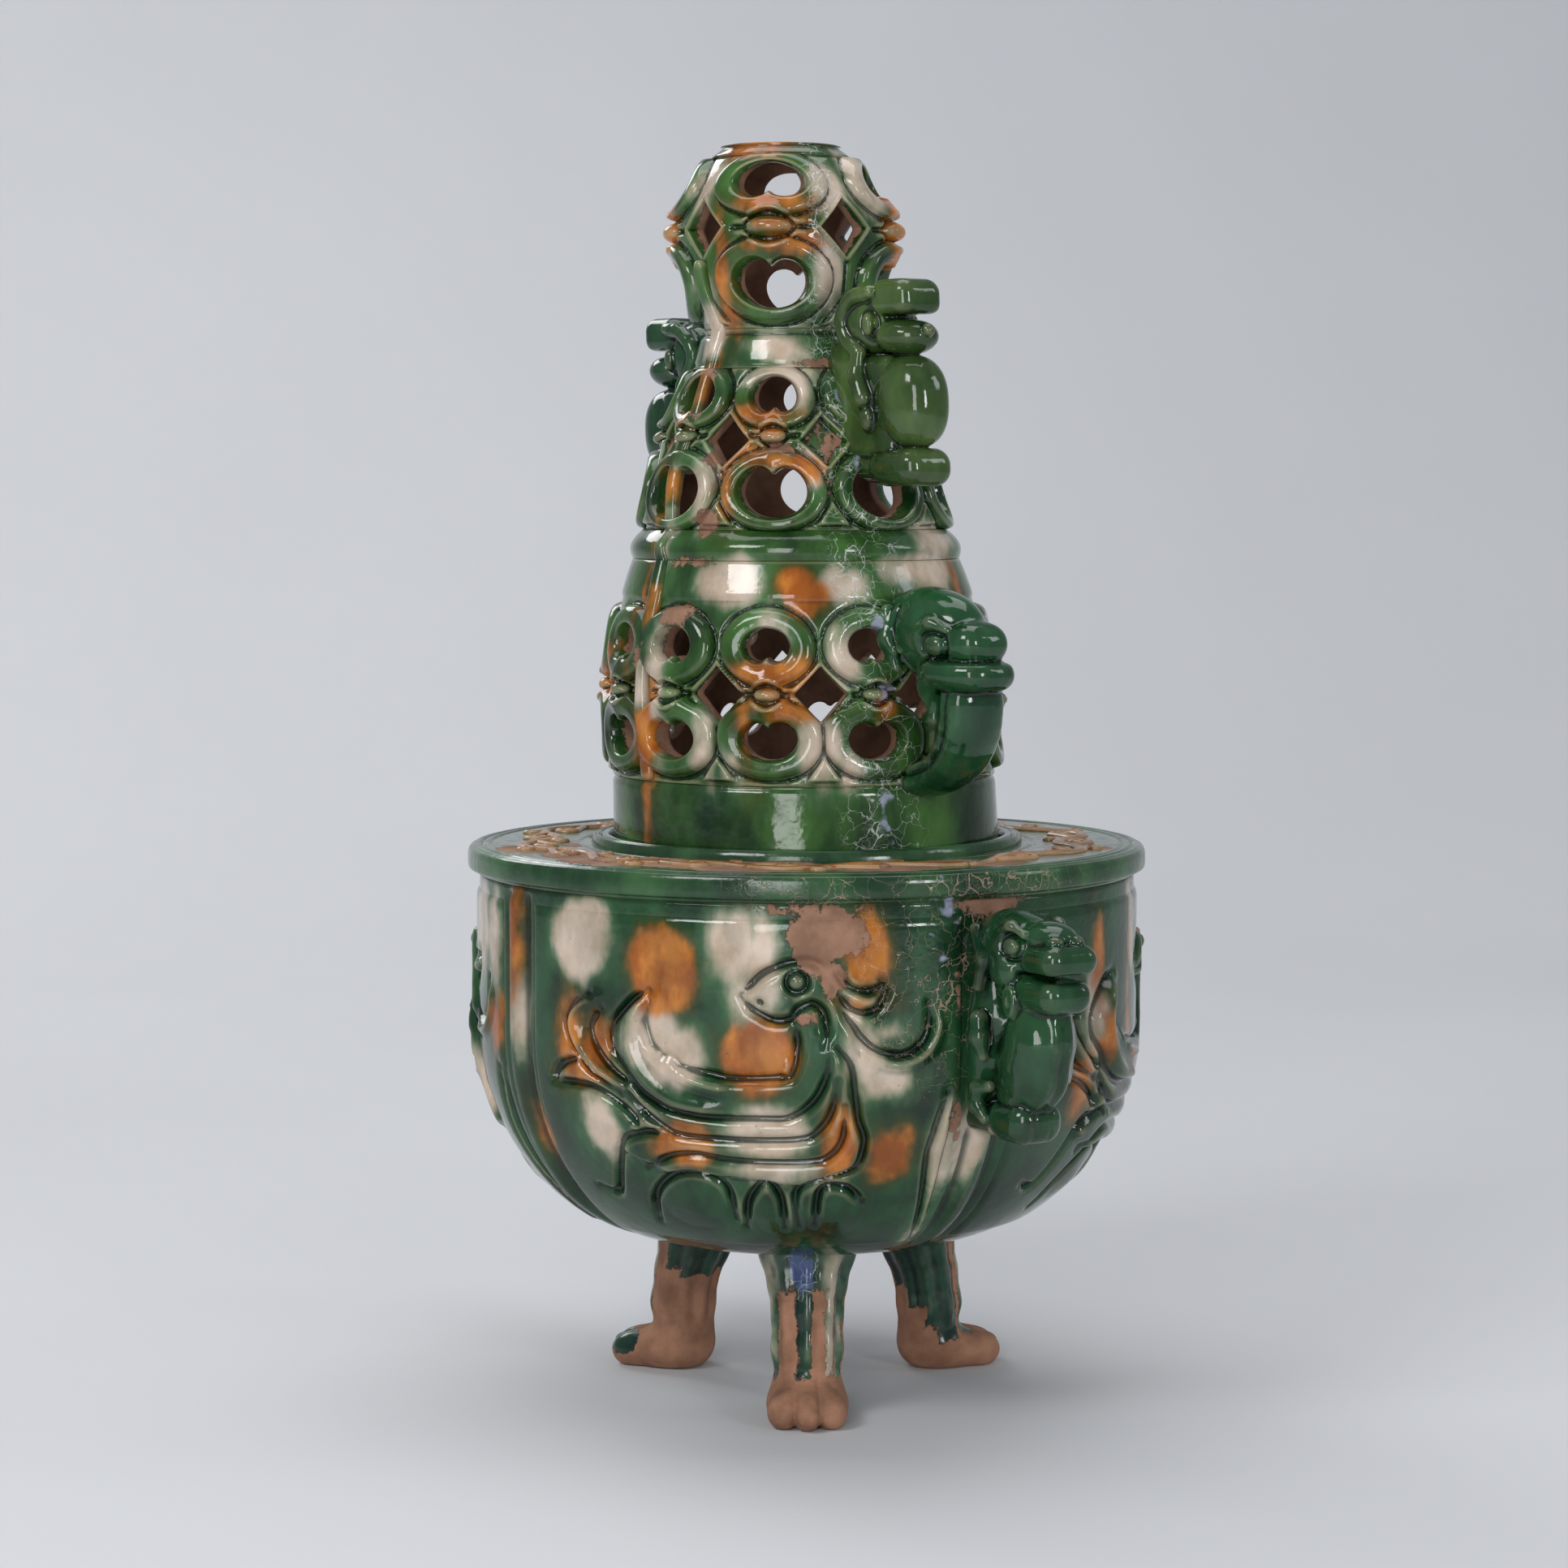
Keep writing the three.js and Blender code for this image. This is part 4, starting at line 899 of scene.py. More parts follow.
def plate():
    r = np.linspace(98, SEAT_INNER + 0.8, 130)
    lines = 0.7 * hump(r - 96.2, 0.5) + 0.5 * hump(r - 93.4, 0.5) + 0.4 * hump(r - 67.2, 0.5)
    top = np.stack([r, PLATE_TOP - 0.15 - lines + 0.15 * hump(r - 94.8, 0.6)], 1)
    outline = [[MOUTH_RADIUS, PLATE_BASE], [96.8, PLATE_BASE], [97.4, PLATE_BASE + 1.1],
               [RIM_RADIUS - 0.2, PLATE_BASE + 1.6], [RIM_RADIUS, PLATE_BASE + 3],
               [RIM_RADIUS, PLATE_TOP - 2.2], [RIM_RADIUS - 0.8, PLATE_TOP - 0.5]]
    ledge = [[SEAT_INNER, PLATE_TOP - 0.5], [SEAT_INNER - 0.3, LEDGE], [MOUTH_RADIUS + 0.8, LEDGE]]
    shape = lathe(np.vstack([rounded(outline, 0.9)[2:], top, rounded(ledge, 0.7)]), 360, wobble=0.25)
    piece("plate", shape, "bowl", ["shoulder_plate"], PLATE_GLAZE, paint_plate)
    r = np.linspace(SEAT_OUTER, SEAT_INNER, 40)
    rise = 2.6 - 0.9 * hump(r - 60.9, 0.45) - 0.6 * hump(r - 62.3, 0.3)
    rise = rise * ramp(SEAT_OUTER - r, 0.9) ** 0.5
    rise = rise * np.clip((r - SEAT_INNER) / 0.7, 0.1, 1) ** 0.5
    ring = np.vstack([[[SEAT_INNER, PLATE_TOP - 1]], [[SEAT_OUTER, PLATE_TOP - 1]],
                      np.stack([r, PLATE_TOP + rise], 1)])
    piece("seat_collar", lathe(ring, 300), "bowl", ["seat_ring"], PLATE_GLAZE,
          lambda points: {**paint_plate(points), "bare": np.full(len(points), -1.9)})


SCROLL_WAVES, SCROLL_RADIUS = 10, 79.5


def vine_at(a):
    return SCROLL_RADIUS + 5.5 * np.cos(np.radians(SCROLL_WAVES * a))


def tendril(start, middle, reach, size, side, turns):
    """Line that leaves the vine and curls up, outward where side is 1."""
    t = np.linspace(0, 1, 15)
    angle = side * (2 * np.pi * turns * t - np.pi / 2)
    radius = size * (1 - 0.75 * t)
    along = middle + np.degrees(radius * np.cos(angle) / reach)
    return [(start, vine_at(start)), *zip(along, reach + radius * np.sin(angle))]


def scroll_lines():
    """Lines, each with its half width at both ends: a wave round half the plate and two curls a bend."""
    lines = [([(a, vine_at(a)) for a in np.linspace(1.2, 178.8, 150)], 1.7, 1.7)]
    bend = 180 / SCROLL_WAVES
    for k in range(1, SCROLL_WAVES):
        crest, side = bend * k, 1 if k % 2 == 0 else -1
        large = tendril(crest - 9, crest, vine_at(crest) - 6.2 * side, 3.3, side, 1.15)
        small = tendril(crest, crest + 6, vine_at(crest + 6) + 4.4 * side, 2.3, side, 0.9)
        lines += [(large, 1.3, 1.0), (small, 1.2, 1.0)]
    return lines


def scroll(place, azimuth):
    """Half of the scroll border, rounded strokes that stand on the plate."""
    lines = scroll_lines()

    def field(p):
        u, r, z = p.T
        best = np.full_like(u, 9.0)
        for line, thick, thin in lines:
            flat = np.array(line) * [math.radians(1) * SCROLL_RADIUS, 1]
            low, high = flat.min(0) - 4, flat.max(0) + 4
            near = (u > low[0]) & (u < high[0]) & (r > low[1]) & (r < high[1])
            if near.any():
                distance, share = line_distance(u[near], r[near], flat)
                width = thick + (thin - thick) * share
                q = np.hypot(distance / width, (z[near] - PLATE_TOP + 0.3) / 1.2) - 1
                best[near] = np.minimum(best[near], q * 1.4)
        return trim(best, PLATE_TOP - 0.5 - z, 0.2)

    corners, faces = netted(field, (0, 64, PLATE_TOP - 1.2),
                            (math.pi * SCROLL_RADIUS, 95, PLATE_TOP + 2.2), 0.52)
    u, r, z = corners.T
    points = about(r, u / SCROLL_RADIUS + math.radians(azimuth), z)

    def paint(points):
        azimuth, z, r = polar(points)
        return masks(z, bare=np.minimum(worn_plate(azimuth, r) - 7, 2))

    piece(f"{place}_scroll", (points, faces), "bowl", [f"scroll_border_{place}"], SCROLL_GLAZE,
          paint)


# Legs
def sculpted(name, field, low, high, azimuth, body, stands_for, material, paint, cell):
    """Piece made of an implicit shape in reach, across and height, turned to its azimuth."""
    corners, faces = netted(field, low, high, cell)
    piece(name, (turned(corners, azimuth), faces), body, stands_for, material, paint)


def folded(p):
    """Points folded onto one side, for parts that come in pairs."""
    return np.stack([p[:, 0], np.abs(p[:, 1]), p[:, 2]], 1)


def pressed_ring(shape, p, centre, half_length, half_height, width, depth):
    """Groove round an eye on both cheeks."""
    away = np.hypot((p[:, 0] - centre[0]) / half_length, (p[:, 2] - centre[2]) / half_height)
    groove = hump((away - 1) * min(half_length, half_height), width)
    return shape + depth * groove * (np.abs(p[:, 1]) > 2.5)


# Middle line of a leg's shank, from the bowl down
SHANK = [(34.5, 0, 56), (35.5, 0, 48), (38.8, 0, 39), (41.6, 0, 30), (43, 0, 20), (42.5, 0, 9)]
FLUTES = 9


def round_shank(r, t, z):
    """Degrees round the shank's own axis, from outward."""
    reach, _, height = np.array(SHANK[::-1]).T
    return np.degrees(np.arctan2(t, r - np.interp(z, height, reach)))


def leg_field(p):
    """Fluted shank on a paw with three toes."""
    r, t, z = p.T
    shank = limb(p, SHANK, [14.8, 12.8, 10.2, 9.0, 9.0, 8.8], 1.08)
    fluted = ramp(z - 13, 6) * ramp(55 - z, 6)
    shank = shank - 0.6 * np.cos(np.radians(FLUTES * round_shank(r, t, z))) * fluted
    toes = [(egg(p, (reach, across, 4.6), (6.4, 4.7, 5.2)), 1.8)
            for across, reach in ((-6.8, 57.4), (0, 59.4), (6.8, 57.4))]
    shape = melded(shank, (egg(p, (50, 0, 5.2), (14, 11.8, 6.8)), 5), *toes)
    for across in (-3.5, 3.5):
        cleft, _ = line_distance(r, t, [(47, across * 0.8), (68, across * 1.1)])
        shape = shape + 0.8 * hump(cleft, 1.0) * ramp(15 - z, 4) * ramp(r - 47, 4)
    shape = meld(shape, egg(p, (64.4, 0, 4.8), (3, 3, 3)), 0.9)
    return np.maximum(trim(shape, 0.05 - z, 0.8), z - 51)


# Where glaze runs down each leg: (degrees round the shank, half width, lowest height)
ALL_ROUND = 60.0
LEG_RUNS = {
    "front": [(0, ALL_ROUND, 38), (-75, 2.0, 12), (-6, 2.3, 12.5), (41, 1.6, 13), (66, 2.0, 12)],
    "right": [(0, ALL_ROUND, 44), (-80, 3.4, 9.5), (-95, 5, 14), (-120, 6, 20), (-150, 7, 26),
              (180, 8, 33), (-36, 2.2, 11)],
    "left": [(0, ALL_ROUND, 46), (112, 5, 32), (145, 6, 29), (180, 7, 30), (38, 1.8, 17)]}
LEG_PALE = {"front": [(41, 0.9, 14), (-62, 1.4, 36), (-80, 0.9, 20)],
            "right": [(-36, 0.8, 13)], "left": [(40, 0.8, 26)]}
LEG_BLUE = {"front": [(-8, 4.5, 34)], "right": [(-36, 1.6, 12)], "left": []}
TOE_SPOTS = {"front": [], "right": [], "left": [(63.5, 2, 6, 6), (58, 9, 8, 5)]}


SHANK_RADIUS = 9.5


def running(angle, z, runs):
    """How far inside the nearest run of glaze a point on the shank lies, in mm."""
    best = np.full_like(z, -9.0)
    for middle, half_width, lowest in runs:
        across = np.radians(np.abs(signed(angle - middle))) * SHANK_RADIUS
        best = np.maximum(best, np.minimum(half_width - across, (z - lowest) * 0.6))
    return best


def paint_leg(place, azimuth):
    """Bare clay but for runs and spots of glaze, of which some are pale and some blue."""
    def paint(points):
        x, y, z = points.T
        a = math.radians(azimuth)
        r, t = x * math.sin(a) - y * math.cos(a), x * math.cos(a) + y * math.sin(a)
        angle = round_shank(r, t, z)
        glazed = running(angle, z, LEG_RUNS[place])
        pale = running(angle, z, LEG_PALE[place])
        blue = running(angle, z, LEG_BLUE[place])
        glazed = np.maximum(glazed, pale)
        for reach, across, height, size in TOE_SPOTS[place]:
            away = np.sqrt((r - reach) ** 2 + (t - across) ** 2 + (z - height) ** 2)
            glazed = np.maximum(glazed, size - away)
        return masks(z, cream=np.minimum(pale, 0.2), bare=np.clip(-1.5 * glazed, -12, 12),
                     crackle=0.95 * ramp(blue, 2))
    return paint


# Handles, in points p and in points m folded onto one side
def bowl_handle_head(p, m):
    """Long-snouted head with an open jaw."""
    r, t, z = p.T
    skull = meld(egg(p, (112, 0, 142), (14, 8.8, 9.6)),
                 limb(p, [(94, 0, 140), (106, 0, 142.5)], [8.5, 9], 0.95), 5)
    lip = block(p, (128.4, 0, 140.4), (8.1, 8.6, 4.3), 4.1)
    nose = egg(p, (124, 0, 146), (8.4, 7, 4.6))
    nostril = egg(m, (130.5, 3.2, 145.2), (3.2, 2.6, 2.2))
    brow = limb(m, [(112, 6.8, 147), (117, 7.7, 148.6), (122.4, 7.2, 147)], [1.2, 1.7, 1.2])
    cheek = egg(m, (113, 7.2, 136.6), (5.6, 3, 4.8))
    jaw = meld(block(p, (125.2, 0, 130.6), (9.6, 7.9, 4.7), 4.3), egg(p, (112.5, 0, 132), (8, 8, 6)), 3)
    head = melded(skull, (lip, 2.0), (nose, 0.7), (nostril, 0.8), (brow, 0.9), (cheek, 1.6), (jaw, 0.8))
    mouth = egg(p, (131, 0, 135.8), (15, 12, 1.3), -2)
    head = pressed_ring(trim(head, -mouth, 0.5), p, (117.6, 0, 143.4), 4.2, 3.6, 0.7, 1.1)
    eye = egg(m, (117.6, 7.9, 143.4), (3, 2, 2.4))
    ear = egg(m, (117.3, 8, 128.4), (2.9, 1.9, 4.8), 10)
    head = melded(head, (eye, 0.4), (ear, 0.6))
    ear_rim = np.hypot(r - 117.3, (z - 128.4) * 0.5) - 1.2
    head = head + 0.6 * hump(ear_rim, 0.5) * (np.abs(t) > 7)
    mane = limb(m, [(100, 7.6, 146.5), (105.5, 8.4, 139), (102, 8, 131)], [1.8, 2.3, 1.6])
    return meld(head, mane, 1.2)


def bowl_handle_body(p, m):
    """Bowed column with faint flutes, rooted on the wall."""
    r, t, z = p.T
    body = limb(p, [(121, 0, 127), (119.6, 0, 118), (117.4, 0, 110), (113.4, 0, 103)],
                [9.2, 11.2, 11.4, 9.4], 0.78)
    fluted = ramp(r - 114, 6) * ramp(126 - z, 4)
    body = body + 0.35 * np.cos(t * 2 * np.pi / 5.4) * fluted
    root = limb(p, [(97, 0, 132), (98, 0, 122), (97, 0, 112), (94, 0, 100)], [6.5, 8, 9, 8], 0.88)
    arm = limb(m, [(102.6, 8.2, 122), (103.4, 8.6, 117), (104.8, 8.2, 112)], [2.7, 2.7, 1.6])
    curl = limb(m, [(107.5, 8, 104), (102.8, 8.5, 103), (101.8, 8.5, 98.4), (105.5, 8.2, 95)],
                [1.6, 2.2, 2.2, 1.6])
    return melded(body, (root, 5), (arm, 0.8), (curl, 0.8))


def bowl_handle_field(p):
    """Beast's head over a bowed body that ends in a paw."""
    m = folded(p)
    r, t, z = p.T
    paw = block(p, (112.8, 0, 94.8), (9, 8.2, 5.9), 5.3)
    paw = paw + 0.3 * hump(np.abs(t) - 2.6, 0.6) * ramp(r - 118, 3)
    paw = meld(paw, limb(p, [(88, 0, 94), (104, 0, 93.6)], [4.8, 5], 1.3), 2)
    shape = melded(bowl_handle_head(p, m), (bowl_handle_body(p, m), 1.0), (paw, 0.7))
    return np.maximum(shape, bowl_at(z) - 2.5 - np.hypot(r, t))


def snout_handle_head(p, m):
    """Head with a round nose over one thick lip that runs back to the cheeks."""
    r, t, z = p.T
    skull = meld(egg(p, (66, 0, 225.5), (17, 10.4, 12.8)),
                 limb(p, [(50, 0, 226), (60, 0, 227)], [10.5, 11.5], 0.86), 4)
    nose = egg(p, (79.4, 0, 223.2), (9, 9.4, 7.2))
    nostril = egg(m, (83.4, 4.2, 223.6), (4.2, 4, 4.6))
    throat = egg(p, (71, 0, 215), (10, 9, 6))
    chin = egg(p, (78, 0, 214), (9, 7, 4.4))
    path = curved([(86.2, 0, 214.8), (84.6, 5, 214.8), (79, 7.6, 214.8), (73.6, 8.4, 215),
                   (70.4, 8.4, 211.4), (69.4, 7.4, 206)], 2)
    lip = limb(m, path, np.interp(np.arange(len(path)), [0, 6, 10], [4.2, 4.2, 1.8]))
    head = melded(skull, (nose, 1.0), (nostril, 2.0), (throat, 2.5), (chin, 1.0), (lip, 1.0))
    slit, _ = line_distance(r, z, [(77, 218.5), (90, 218.4)])
    head = pressed_ring(head + 0.6 * hump(slit, 0.7), p, (74.4, 0, 223), 5.1, 4.1, 0.7, 1.0)
    eye = egg(m, (74.4, 9, 223), (3.8, 2.4, 3))
    brow = limb(m, [(67, 8.8, 227), (72.6, 8.8, 229), (78, 7.8, 227.4)], [1.4, 1.9, 1.2])
    ear = egg(m, (57.6, 9.4, 221.6), (3.6, 2, 2.2), -20)
    head = melded(head, (eye, 0.4), (brow, 1.4), (ear, 0.6))
    cheek, _ = line_distance(r, z, curved([(71.5, 219.5), (66.5, 216), (66, 211), (68.5, 206)]))
    behind, _ = line_distance(r, z, curved([(58.5, 233), (57.5, 224), (61.5, 215), (63.5, 208)]))
    head = head + (1.3 * hump(cheek, 0.9) + 1.1 * hump(behind, 0.9)) * (np.abs(t) > 4)
    mane = limb(m, [(53, 8.4, 232), (54, 9.4, 224), (56.5, 8.8, 216)], [2, 2.8, 1.8])
    return meld(head, mane, 1.2)


def snout_handle_field(p):
    """Snouted head whose trunk bows out and back to the wall."""
    m = folded(p)
    r, t, z = p.T
    path = curved([(80.5, 0, 210), (79.8, 0, 203), (78.4, 0, 197), (74.5, 0, 191), (69, 0, 186.8),
                   (62, 0, 184), (54, 0, 183)], 2)
    trunk = limb(p, path, np.linspace(4.7, 3.8, len(path)), 1.9)
    rim = limb(m, [(75.6, 6.6, 210), (74.8, 6.8, 200), (72, 6.8, 194.4), (67.5, 6.6, 190),
                   (58, 6.4, 187)], [1.5, 1.5, 1.4, 1.4, 1.2])
    ridge = limb(m, [(70.5, 6.2, 210), (69.8, 6.4, 202), (68.4, 6, 195)], [2.8, 1.9, 1.0])
    neck = meld(ridge, limb(p, [(64, 0, 212), (70, 0, 208)], [4, 3], 1.5), 2)
    shape = melded(snout_handle_head(p, m), (meld(trunk, rim, 0.7), 0.9), (neck, 0.9))
    return np.maximum(shape, lower_at(z) - 2.2 - np.hypot(r, t))


def crouching_handle_face(p, m):
    """Face with a square muzzle, an open mouth and a curl round the eye."""
    r, _, z = p.T
    skull = egg(p, (43, 0, 313.4), (12, 9, 10.2))
    muzzle = block(p, (55.5, 0, 319.8), (8.2, 8, 5.4), 4.2)
    jaw = egg(p, (55.6, 0, 309.2), (9.6, 8.6, 5.4))
    tongue = egg(p, (65, 0, 310.6), (2, 2, 2))
    face = melded(skull, (muzzle, 1.4), (jaw, 0.7), (tongue, 0.5))
    gape, _ = line_distance(r, z, [(53, 314.6), (68, 314.6)])
    face = pressed_ring(face + 1.3 * hump(gape, 0.9), p, (48.4, 0, 312.6), 2.6, 4.2, 0.6, 0.8)
    eye = egg(m, (48.4, 8.2, 312.6), (1.8, 1.6, 3.2))
    path = curved([(49.5, 8, 321.6), (41.5, 8.2, 320), (36.4, 8, 314), (39, 7.8, 308),
                   (43.4, 7.6, 305)], 3)
    curl = limb(m, path, np.full(len(path), 1.9))
    return melded(face, (eye, 0.4), (curl, 0.7))


def crouching_handle_field(p, drop):
    """Crouching beast with an open mouth, its round belly and its paw."""
    wall = np.where(p[:, 2] > NECK_LOW, cover_at(p[:, 2]), upper_at(np.minimum(p[:, 2], NECK_LOW)))
    p = p + np.array([0, 0, drop])
    m = folded(p)
    back = meld(block(p, (42, 0, 289), (14, 7.6, 15), 4),
                limb(p, [(30, 0, 302), (36, 0, 300)], [7, 7]), 2)
    belly = barrel(p, (57, 0, 290.8), (10.8, 9, 13.2), 2.4)
    arm = limb(m, [(43, 7.8, 304), (42.8, 8.4, 298), (45.5, 8.6, 292)], [2.2, 2.5, 3.0])
    knee = egg(m, (46.6, 8.2, 286.2), (2.4, 2.0, 3.4))
    body = melded(back, (belly, 0.5), (arm, 0.8), (knee, 0.6))
    paw = meld(block(p, (55.4, 0, 272.4), (10, 8.8, 5.4), 4.8),
               limb(p, [(36, 0, 273), (50, 0, 272.6)], [5, 5], 1.5), 1.5)
    shape = melded(crouching_handle_face(p, m), (body, 0.7), (paw, 0.6))
    return np.maximum(shape, wall - 2 - np.hypot(p[:, 0], p[:, 1]))


# Pierced walls of the cover
def notched(x, y, half_width, half_height, notch):
    """Round window whose edge comes to a point inward, at the top where notch is above zero."""
    k0 = np.hypot(x / half_width, y / half_height)
    k1 = np.hypot(x / half_width ** 2, y / half_height ** 2)
    oval = k0 * (k0 - 1) / np.maximum(k1, 1e-6)
    facing = np.clip(y * np.sign(notch) / half_height * 2, 0, 1)
    return oval + abs(notch) * np.exp(-np.abs(x) / (0.28 * half_width)) * facing


class Lattice:
    """Columns of paired rings with a bead between them, and diamonds between columns."""

    def __init__(self, radius_at, low, high, thickness, pitch, columns, gaps, open_gaps, rings, knot,
                 diamond, slope, plain):
        """Pitch is in degrees; columns and gaps are counted in pitches from the right handles' side.

        rings: each window's height, half width, half height and notch, and its ring's half sizes.
        knot: the bead's height, half width and half height, and how far its grooves reach.
        diamond: height and width. slope: length of wall for 1 mm of height. plain: no relief above it.
        """
        self.radius_at, self.low, self.high, self.thickness = radius_at, low, high, thickness
        self.pitch, self.columns, self.gaps, self.open_gaps = pitch, columns, gaps, open_gaps
        self.rings, self.knot, self.diamond, self.slope, self.plain = rings, knot, diamond, slope, plain
        self.unroll = float(radius_at(np.array([0.5 * (low + high)]))[0])

    def nearest(self, u, places):
        """Angle from the nearest of some places, counted in pitches from the axis, and which it is."""
        a = np.degrees(u / self.unroll) - COVER_AXIS
        away = np.stack([(a - place * self.pitch + 90) % 180 - 90 for place in places])
        pick = np.abs(away).argmin(0)
        return np.radians(np.take_along_axis(away, pick[None], 0)[0]), np.array(places)[pick]

    def flat(self, angle, z, height):
        return angle * float(self.radius_at(np.array([height]))[0]), (z - height) * self.slope(height)

    def knot_field(self, angle, z):
        """Place beside the bead, and how far above or below it the groove runs."""
        height, half_width, half_height, _ = self.knot
        x, y = self.flat(angle, z, height)
        bow = half_height * np.cos(np.pi * np.clip(x / half_width, -1, 1) / 2)
        return x, y, bow

    def layout(self, u, z):
        """Relief of the wall, and how far a point is from the nearest round and diamond windows."""
        column, _ = self.nearest(u, self.columns)
        gap, which = self.nearest(u, self.gaps)
        # Rings round the windows
        holes, outline = np.full_like(z, -NOWHERE), None
        for height, half_width, half_height, notch, ring_width, ring_height in self.rings:
            x, y = self.flat(column, z, height)
            holes = np.minimum(holes, notched(x, y, half_width, half_height, notch))
            ring = notched(x, y, ring_width, ring_height, 0.0)
            outline = ring if outline is None else meld(outline, ring, 6)
        share = np.clip(holes / np.maximum(holes - outline, 1e-6), 0, 1)
        relief = 3.0 * (4 * share * (1 - share)) ** 0.55 * (outline < 0) - 0.7
        relief = relief - 0.9 * hump(outline, 0.8) + 0.5 * hump(holes - 0.8, 0.6)
        # Grooves and lips above and below the bead
        x, y, bow = self.knot_field(column, z)
        reach = self.knot[3]
        groove = np.minimum(np.abs(y - bow), np.abs(y + bow))
        relief = relief - 1.5 * hump(groove, 0.9) * ramp(reach - np.abs(x), 2)
        relief = relief + 0.8 * hump(np.abs(y) - bow - 1.5, 0.9) * ramp(reach - 2 - np.abs(x), 3)
        relief = relief + 0.5 * bow.max() * hump(np.hypot(x / self.knot[1], y / self.knot[2] / 2.2), 1.2)
        # Diamonds, of which some are blind
        height, size = self.diamond
        x, y = self.flat(gap, z, height)
        rhomb = (np.abs(x) + np.abs(y) - size / 2) / math.sqrt(2)
        is_open = np.isin(which, self.open_gaps)
        diamonds = np.where(is_open, rhomb, -NOWHERE)
        sunk = -2.4 * ramp(-rhomb, 1.2)
        open_edge, blind = 0.6 * hump(rhomb - 0.6, 0.5), sunk + 0.6 * hump(rhomb - 0.4, 0.5)
        relief = relief + np.where(is_open, open_edge, blind)
        # Line down from each diamond to a spike at the foot
        x, _ = self.flat(gap, z, self.low)
        between = ramp(z - self.low - 8, 2) * ramp(height - size / 2 - z, 1.5)
        relief = relief - 1.0 * hump(x, 0.7) * between
        spike = np.minimum(z - self.low - 1.2, (self.low + 9 - z) * 0.6 - np.abs(x) * 0.85)
        relief = np.where(spike > -0.8, 1.6 * np.clip(spike * 1.4, 0, 1) - 0.9, relief)
        return relief * (1 - ramp(z - self.plain, 1.5)), holes, diamonds

    def bead(self, p):
        u, z, w = p.T
        x, y, _ = self.knot_field(self.nearest(u, self.columns)[0], z)
        _, half_width, half_height, _ = self.knot
        radii = half_width * 0.82, half_height * 0.78, half_height * 1.25
        return egg(np.stack([x, y, w], 1), (0, 0, 0.2), radii)

    def field(self, p):
        u, z, w = p.T
        relief, holes, diamonds = self.layout(u, z)
        solid = trim(w - relief, -holes, 1.2)
        solid = trim(solid, -diamonds, 0.4)
        solid = meld(solid, self.bead(p), 0.5)
        solid = trim(solid, -self.thickness - w, 0.8)
        return trim(solid, np.maximum(self.low - z, z - self.high), 0.3)

    def mesh(self, cell):
        low = (-math.pi * self.unroll, self.low - 2 * cell, -self.thickness - 2 * cell)
        high = (math.pi * self.unroll, self.high + 2 * cell, 5.2)
        corners, faces = netted(self.field, low, high, cell, closed=True)
        return round_wall(corners, self.radius_at, self.unroll), faces


def no_slope(height):
    return 1.0


def dome_slope(height):
    step = 0.5
    ends = dome_at(np.array([height - step, height + step]))
    return math.hypot(1, (ends[1] - ends[0]) / (2 * step))


LOWER = Lattice(
    lower_at, TIER_LOW, BELT_LOW, 7, 31.2, columns=[-2.5, -1.5, -0.5, 0.5, 1.5, 2.5],
    gaps=[-2, -1, 0, 1, 2], open_gaps=[-2, -1, 0, 1, 2],
    rings=[(222, 6.5, 5.2, -2.4, 14.2, 11.4), (196, 8.1, 5.8, 2.8, 16.2, 11.8)],
    knot=(208.6, 4.5, 2.7, 10), diamond=(208.6, 16), slope=no_slope, plain=234.5)
UPPER = Lattice(
    upper_at, TIER_HIGH, NECK_LOW, 6.5, 45, columns=[-2, -1, 0, 1],
    gaps=[-1.5, -0.5, 0.5, 1.5], open_gaps=[-1.5, 0.5, 1.5],
    rings=[(292.8, 6.7, 5.5, -2.2, 12.2, 9.8), (265.9, 10.3, 7.8, 3.6, 16, 12)],
    knot=(281.4, 4.5, 2.8, 9), diamond=(280, 15), slope=no_slope, plain=302)
DOME = Lattice(
    dome_at, DOME_LOW, DOME_TOP, 6, 90, columns=[-0.5, 0.5], gaps=[-1, 0], open_gaps=[-1, 0],
    rings=[(354, 10.4, 6.4, -3.2, 17.5, 12), (325.6, 11, 7.8, 3.8, 18.5, 13)],
    knot=(340.8, 7.8, 4.1, 13), diamond=(341, 17), slope=dome_slope, plain=366)


def cover_piece(name, shape, rounds=5):
    piece(name, shape, "cover", [f"cover_{name}"], THREE_COLOUR, paint_cover,
          rounds)


def cover_walls():
    walls = ("lower_tier", LOWER, 0.72), ("upper_tier", UPPER, 0.62), ("dome", DOME, 0.58)
    for name, lattice, cell in walls:
        cover_piece(name, lattice.mesh(cell), rounds=3)


def banded(name, radius_at, low, high, thickness, rows, sides, grooves=(), wobble=0.0):
    """Plain ring of the cover, with grooves at the given heights."""
    z = np.linspace(low, high, rows)
    r = radius_at(z)
    for height, depth, width in grooves:
        r = r - depth * hump(z - height, width)
    inner = np.maximum(radius_at(z[::-4]) - thickness, 0.4)
    outline = np.vstack([np.stack([r, z], 1), np.stack([inner, z[::-4]], 1)])
    cover_piece(name, lathe(outline, sides, wobble))


def cap():
    """Low disc inside a rim, which closes the dome."""
    z = np.array([DOME_TOP, 363, 364.2, 365.2])
    r = dome_at(z)
    disc = np.array([17.6, 16.6, 15.4, 14.6, 13.6, 11, 7, 3, 0.4])
    top = np.array([365.5, 365.8, 365.95, 365.7, 365.2, 365.3, 365.5, 365.7, 365.75])
    outline = np.vstack([np.stack([r, z], 1), np.stack([disc, top], 1),
                         [[0.4, DOME_TOP], [8, DOME_TOP]]])
    cover_piece("cap", lathe(outline, 160))


